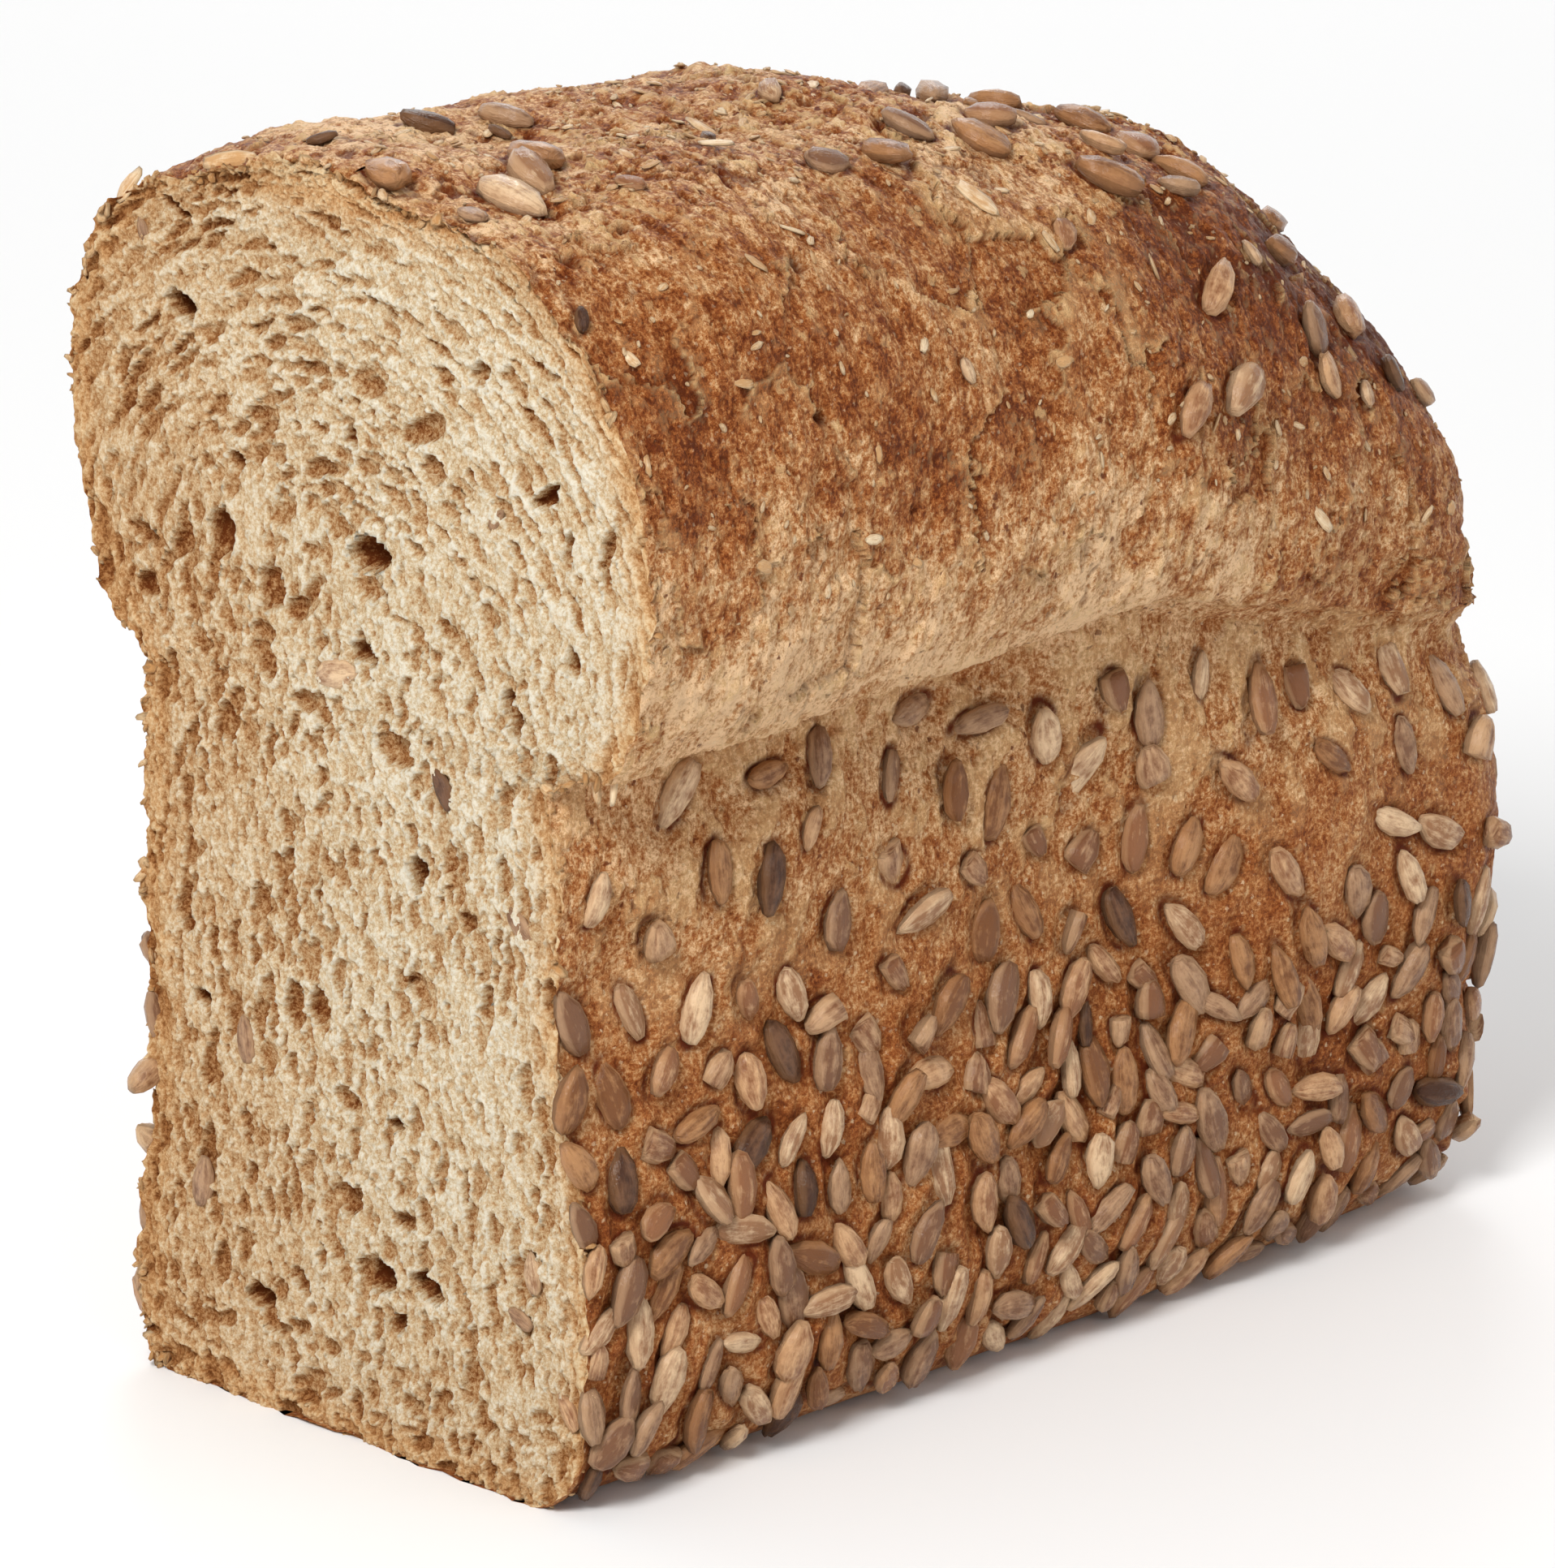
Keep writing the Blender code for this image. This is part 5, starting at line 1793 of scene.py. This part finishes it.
def mix_colour(tree, share, first, second):
    """Two colours mixed by a share."""
    node = tree.nodes.new("ShaderNodeMix")
    node.data_type = "RGBA"
    for number, value in ((0, share), (6, first), (7, second)):
        connect(tree, node.inputs[number], (*value, 1.0) if isinstance(value, tuple) else value)
    return node.outputs[2]


def new_material(name, finish):
    """An empty material with its shader, whose even values are set on its own sockets."""
    material = bpy.data.materials.new(name)
    material.use_nodes = True
    tree = material.node_tree
    shader = tree.nodes["Principled BSDF"]
    roughness, specular = FINISHES[finish]
    shader.inputs["Roughness"].default_value = roughness
    shader.inputs["Specular IOR Level"].default_value = specular
    return material, tree, shader


def finish_material(tree, shader, colour, height, distance):
    """The shader's colour, and bump from a height of about 0 to 1 over a distance."""
    tree.links.new(colour, shader.inputs["Base Color"])
    bump = add_node(tree, "ShaderNodeBump", Height=height, Distance=distance)
    tree.links.new(bump.outputs[0], shader.inputs["Normal"])


def crumb_material():
    """Open crumb: cream nubs, tan between, brown in the pores, as painted shade, and towards
    the crust, where it is toasted in patches."""
    material, tree, shader = new_material("crumb", "crumb")
    fine, middle = pattern(tree, "fine crumb"), pattern(tree, "crumb")
    tone = summed(
        tree,
        stored(tree, "tone"),
        spots(tree, "fine crumb", fine),
        spots(tree, "crumb", middle),
    )
    cream = colour_ramp(tree, tone, CRUMB_STOPS)
    golden = colour_ramp(tree, tone, CRUMB_EDGE_STOPS)
    toasted = clamped(tree, pattern(tree, "toast"), *CUTS["toasted"])
    share = clamped(tree, toasted, TOASTED, stored(tree, "edge"))
    colour = mix_colour(tree, share, cream, golden)
    finish_material(tree, shader, colour, fine, CRUMB_BUMP)
    return material


def specks(tree, spacing, largest, share):
    """Small ragged specks: cells of the given spacing, of which a share has a speck of a
    size of its own, up to the largest share of the spacing. Each falls off steeply from its
    middle, on coordinates bent by a colour noise."""
    finer, bend = SPECK_WOBBLE
    place = tree.nodes.new("ShaderNodeTexCoord").outputs["Object"]
    wobble = add_node(tree, "ShaderNodeTexNoise", Vector=place, Scale=finer / spacing)
    bent = tree.nodes.new("ShaderNodeVectorMath")
    bent.operation = "MULTIPLY_ADD"
    moved = (wobble.outputs["Color"], (bend * spacing,) * 3, place)
    for socket, value in zip(bent.inputs, moved):
        connect(tree, socket, value)
    cells = add_node(tree, "ShaderNodeTexVoronoi", Vector=bent.outputs[0], Scale=1 / spacing)
    own = add_node(tree, "ShaderNodeSeparateColor", Color=cells.outputs["Color"]).outputs[0]
    reach = clamped(tree, own, largest / share, largest * (1 - 1 / share))
    inside = summed(tree, reach, scaled(tree, cells.outputs["Distance"], -1.0, 0.0))
    return clamped(tree, inside, SPECK_SHARPNESS)


def crust_material():
    """Baked crust: pale tan to deep brown by how far it has browned, in ragged spots of
    three sizes, of which the largest are streaks along the profile, with pale blots, dark
    specks and painted glints, and over them pale skin, partly a painted highlight on plate
    rims, and painted shade beside kernels and in the skin's feet, cracks, hollows and holes."""
    material, tree, shader = new_material("crust", "crust")
    mottle, grain = pattern(tree, "mottle"), pattern(tree, "grain")
    drawn, mottled = stored(tree, "drawn"), stored(tree, "mottled")
    streaks = pattern(tree, "streaks")
    bake = summed(
        tree,
        stored(tree, "bake"),
        product(tree, spots(tree, "streaks", streaks), product(tree, drawn, mottled)),
        product(tree, spots(tree, "mottle", mottle), mottled),
        spots(tree, "grain", grain),
    )
    colour = colour_ramp(tree, bake, CRUST_STOPS)
    crowded = clamped(tree, pattern(tree, "crowds"), *CUTS["crowded"])
    blots = product(tree, specks(tree, *PALE_BLOTS), product(tree, crowded, mottled))
    colour = mix_colour(tree, scaled(tree, blots, BLOT_STRENGTH, 0.0), colour, PALE_COLOUR)
    dark = product(tree, specks(tree, *DARK_SPECKS), mottled)
    colour = mix_colour(tree, scaled(tree, dark, SPECK_STRENGTH, 0.0), colour, SPECK_COLOUR)
    # painted highlights: pale glint specks mixed into the colour
    glints = product(
        tree,
        specks(tree, *GLINTS),
        product(tree, stored(tree, "glinting"), scaled(tree, crowded, *GLINT_CROWDING)),
    )
    colour = mix_colour(tree, clamped(tree, glints, GLINT_STRENGTH), colour, GLINT_COLOUR)
    # pale skin: torn skin and raised bits, and a painted highlight on plate rims
    pale = product(tree, stored(tree, "pale"), clamped(tree, grain, *CUTS["raised grain"]))
    colour = mix_colour(tree, clamped(tree, pale), colour, PALE_COLOUR)
    # painted shade beside kernels, at plate feet, in cracks, hollows and holes
    colour = mix_colour(tree, clamped(tree, stored(tree, "gap")), colour, PAINTED_SHADE_COLOUR)
    height = summed(tree, mottle, scaled(tree, grain, GRAIN_HEIGHT, 0.0))
    finish_material(tree, shader, colour, height, CRUST_BUMP)
    return material


def kernel_material(name, kind, finish):
    """A hulled kernel, chip or husk: a pale coat in lengthwise streaks and clouds over a
    darker field, with a lighter ring inside its edge and a tone of its own. Its UV runs
    along it (U) and round it (V)."""
    material, tree, shader = new_material(name, finish)
    field, light, ring = KERNEL_COLOURS[kind]
    streaks, clouds = pattern(tree, "kernel streaks"), pattern(tree, "kernel clouds")
    coat = summed(
        tree,
        scaled(tree, streaks, *COAT_STREAKS),
        scaled(tree, clouds, *COAT_CLOUDS),
        stored(tree, "own"),
    )
    colour = mix_colour(tree, clamped(tree, coat), field, light)
    rise = clamped(tree, stored(tree, "edge"), *CUTS["kernel ring"])
    colour = mix_colour(tree, scaled(tree, rise, RING_STRENGTH, 0.0), colour, ring)
    finish_material(tree, shader, colour, summed(tree, streaks, clouds), KERNEL_BUMP)
    return material


def set_camera(shift):
    """The photograph's view of the loaf."""
    turn, rise = np.radians([CAMERA_TURN, CAMERA_RISE])
    back = Vector((np.sin(turn) * np.cos(rise), -np.cos(turn) * np.cos(rise), np.sin(rise)))
    camera = bpy.data.cameras.new("camera")
    camera.sensor_width = SENSOR
    camera.lens = CAMERA_FOCAL / PHOTO_HEIGHT * SENSOR
    thing = bpy.data.objects.new("camera", camera)
    thing.location = Vector(CAMERA_TARGET) + Vector(shift) + back * CAMERA_DISTANCE
    thing.rotation_euler = back.to_track_quat("Z", "Y").to_euler()
    bpy.context.scene.collection.objects.link(thing)
    bpy.context.scene.camera = thing


def area_light(name, place, size, power, colour):
    """A soft square light that looks at the loaf's middle."""
    light = bpy.data.lights.new(name, "AREA")
    light.size = size
    light.energy = power
    light.color = colour
    thing = bpy.data.objects.new(name, light)
    thing.location = place
    away = Vector(place) - Vector(LIGHT_TARGET)
    thing.rotation_euler = away.to_track_quat("Z", "Y").to_euler()
    bpy.context.scene.collection.objects.link(thing)


def set_studio():
    """Pale floor, a glowing white backdrop behind the loaf, soft white surroundings, a key
    light over the cut face, a weak fill on the near side and a light from behind."""
    half, behind, top = FLOOR_HALF, BEHIND, BACKDROP_TOP
    floor = [(-half, -half, 0), (half, -half, 0), (half, half, 0), (-half, half, 0)]
    backdrop = [(behind + half, behind - half, 0), (behind - half, behind + half, 0)]
    backdrop += [(x, y, top) for x, y, _ in reversed(backdrop)]
    for name, corners, glow in (("floor", floor, 0.0), ("backdrop", backdrop, 1.0)):
        mesh = bpy.data.meshes.new(name)
        mesh.from_pydata(corners, [], [(0, 1, 2, 3)])
        thing = bpy.data.objects.new(name, mesh)
        bpy.context.scene.collection.objects.link(thing)
        material, _, shader = new_material(name, "stage")
        shader.inputs["Base Color"].default_value = STAGE_GREY
        shader.inputs["Emission Color"].default_value = WHITE
        shader.inputs["Emission Strength"].default_value = glow
        mesh.materials.append(material)
    world = bpy.data.worlds.new("world")
    world.use_nodes = True
    background = world.node_tree.nodes["Background"]
    background.inputs[0].default_value = WHITE
    background.inputs[1].default_value = AMBIENT
    bpy.context.scene.world = world
    for name, light in LIGHTS.items():
        area_light(name, *light)
    bpy.context.scene.view_settings.view_transform = "Standard"


def to_frame(points):
    """The move that takes the loaf's own coordinates to the frame's: the cut plane to the
    solid's, and the middle across to the solid's middle."""
    low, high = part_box("loaf")
    middle = (points[..., 1].min() + points[..., 1].max()) / 2
    return np.array([low[0] + LENGTH / 2, (low[1] + high[1]) / 2 - middle, 0.0])


starts, columns, shell, sheet, values, kernels = build_shell()
bare = crust(columns[:, None], profile_rows()[0][None, :])
shift = to_frame(bare)
shell += shift
kernels.centre += shift
add_cut_kernels(kernels, shift)

crust_pieces(starts, columns, shell, sheet, values, crust_material())
crumb_pieces(starts, shell, bare, shift, crumb_material())
kernel_pieces(kernels)
chips(shell, starts, kernel_material("chip", "chip", "chip"))
flakes(shell, columns, kernel_material("husk", "husk", "husk"))
set_camera(shift)
set_studio()
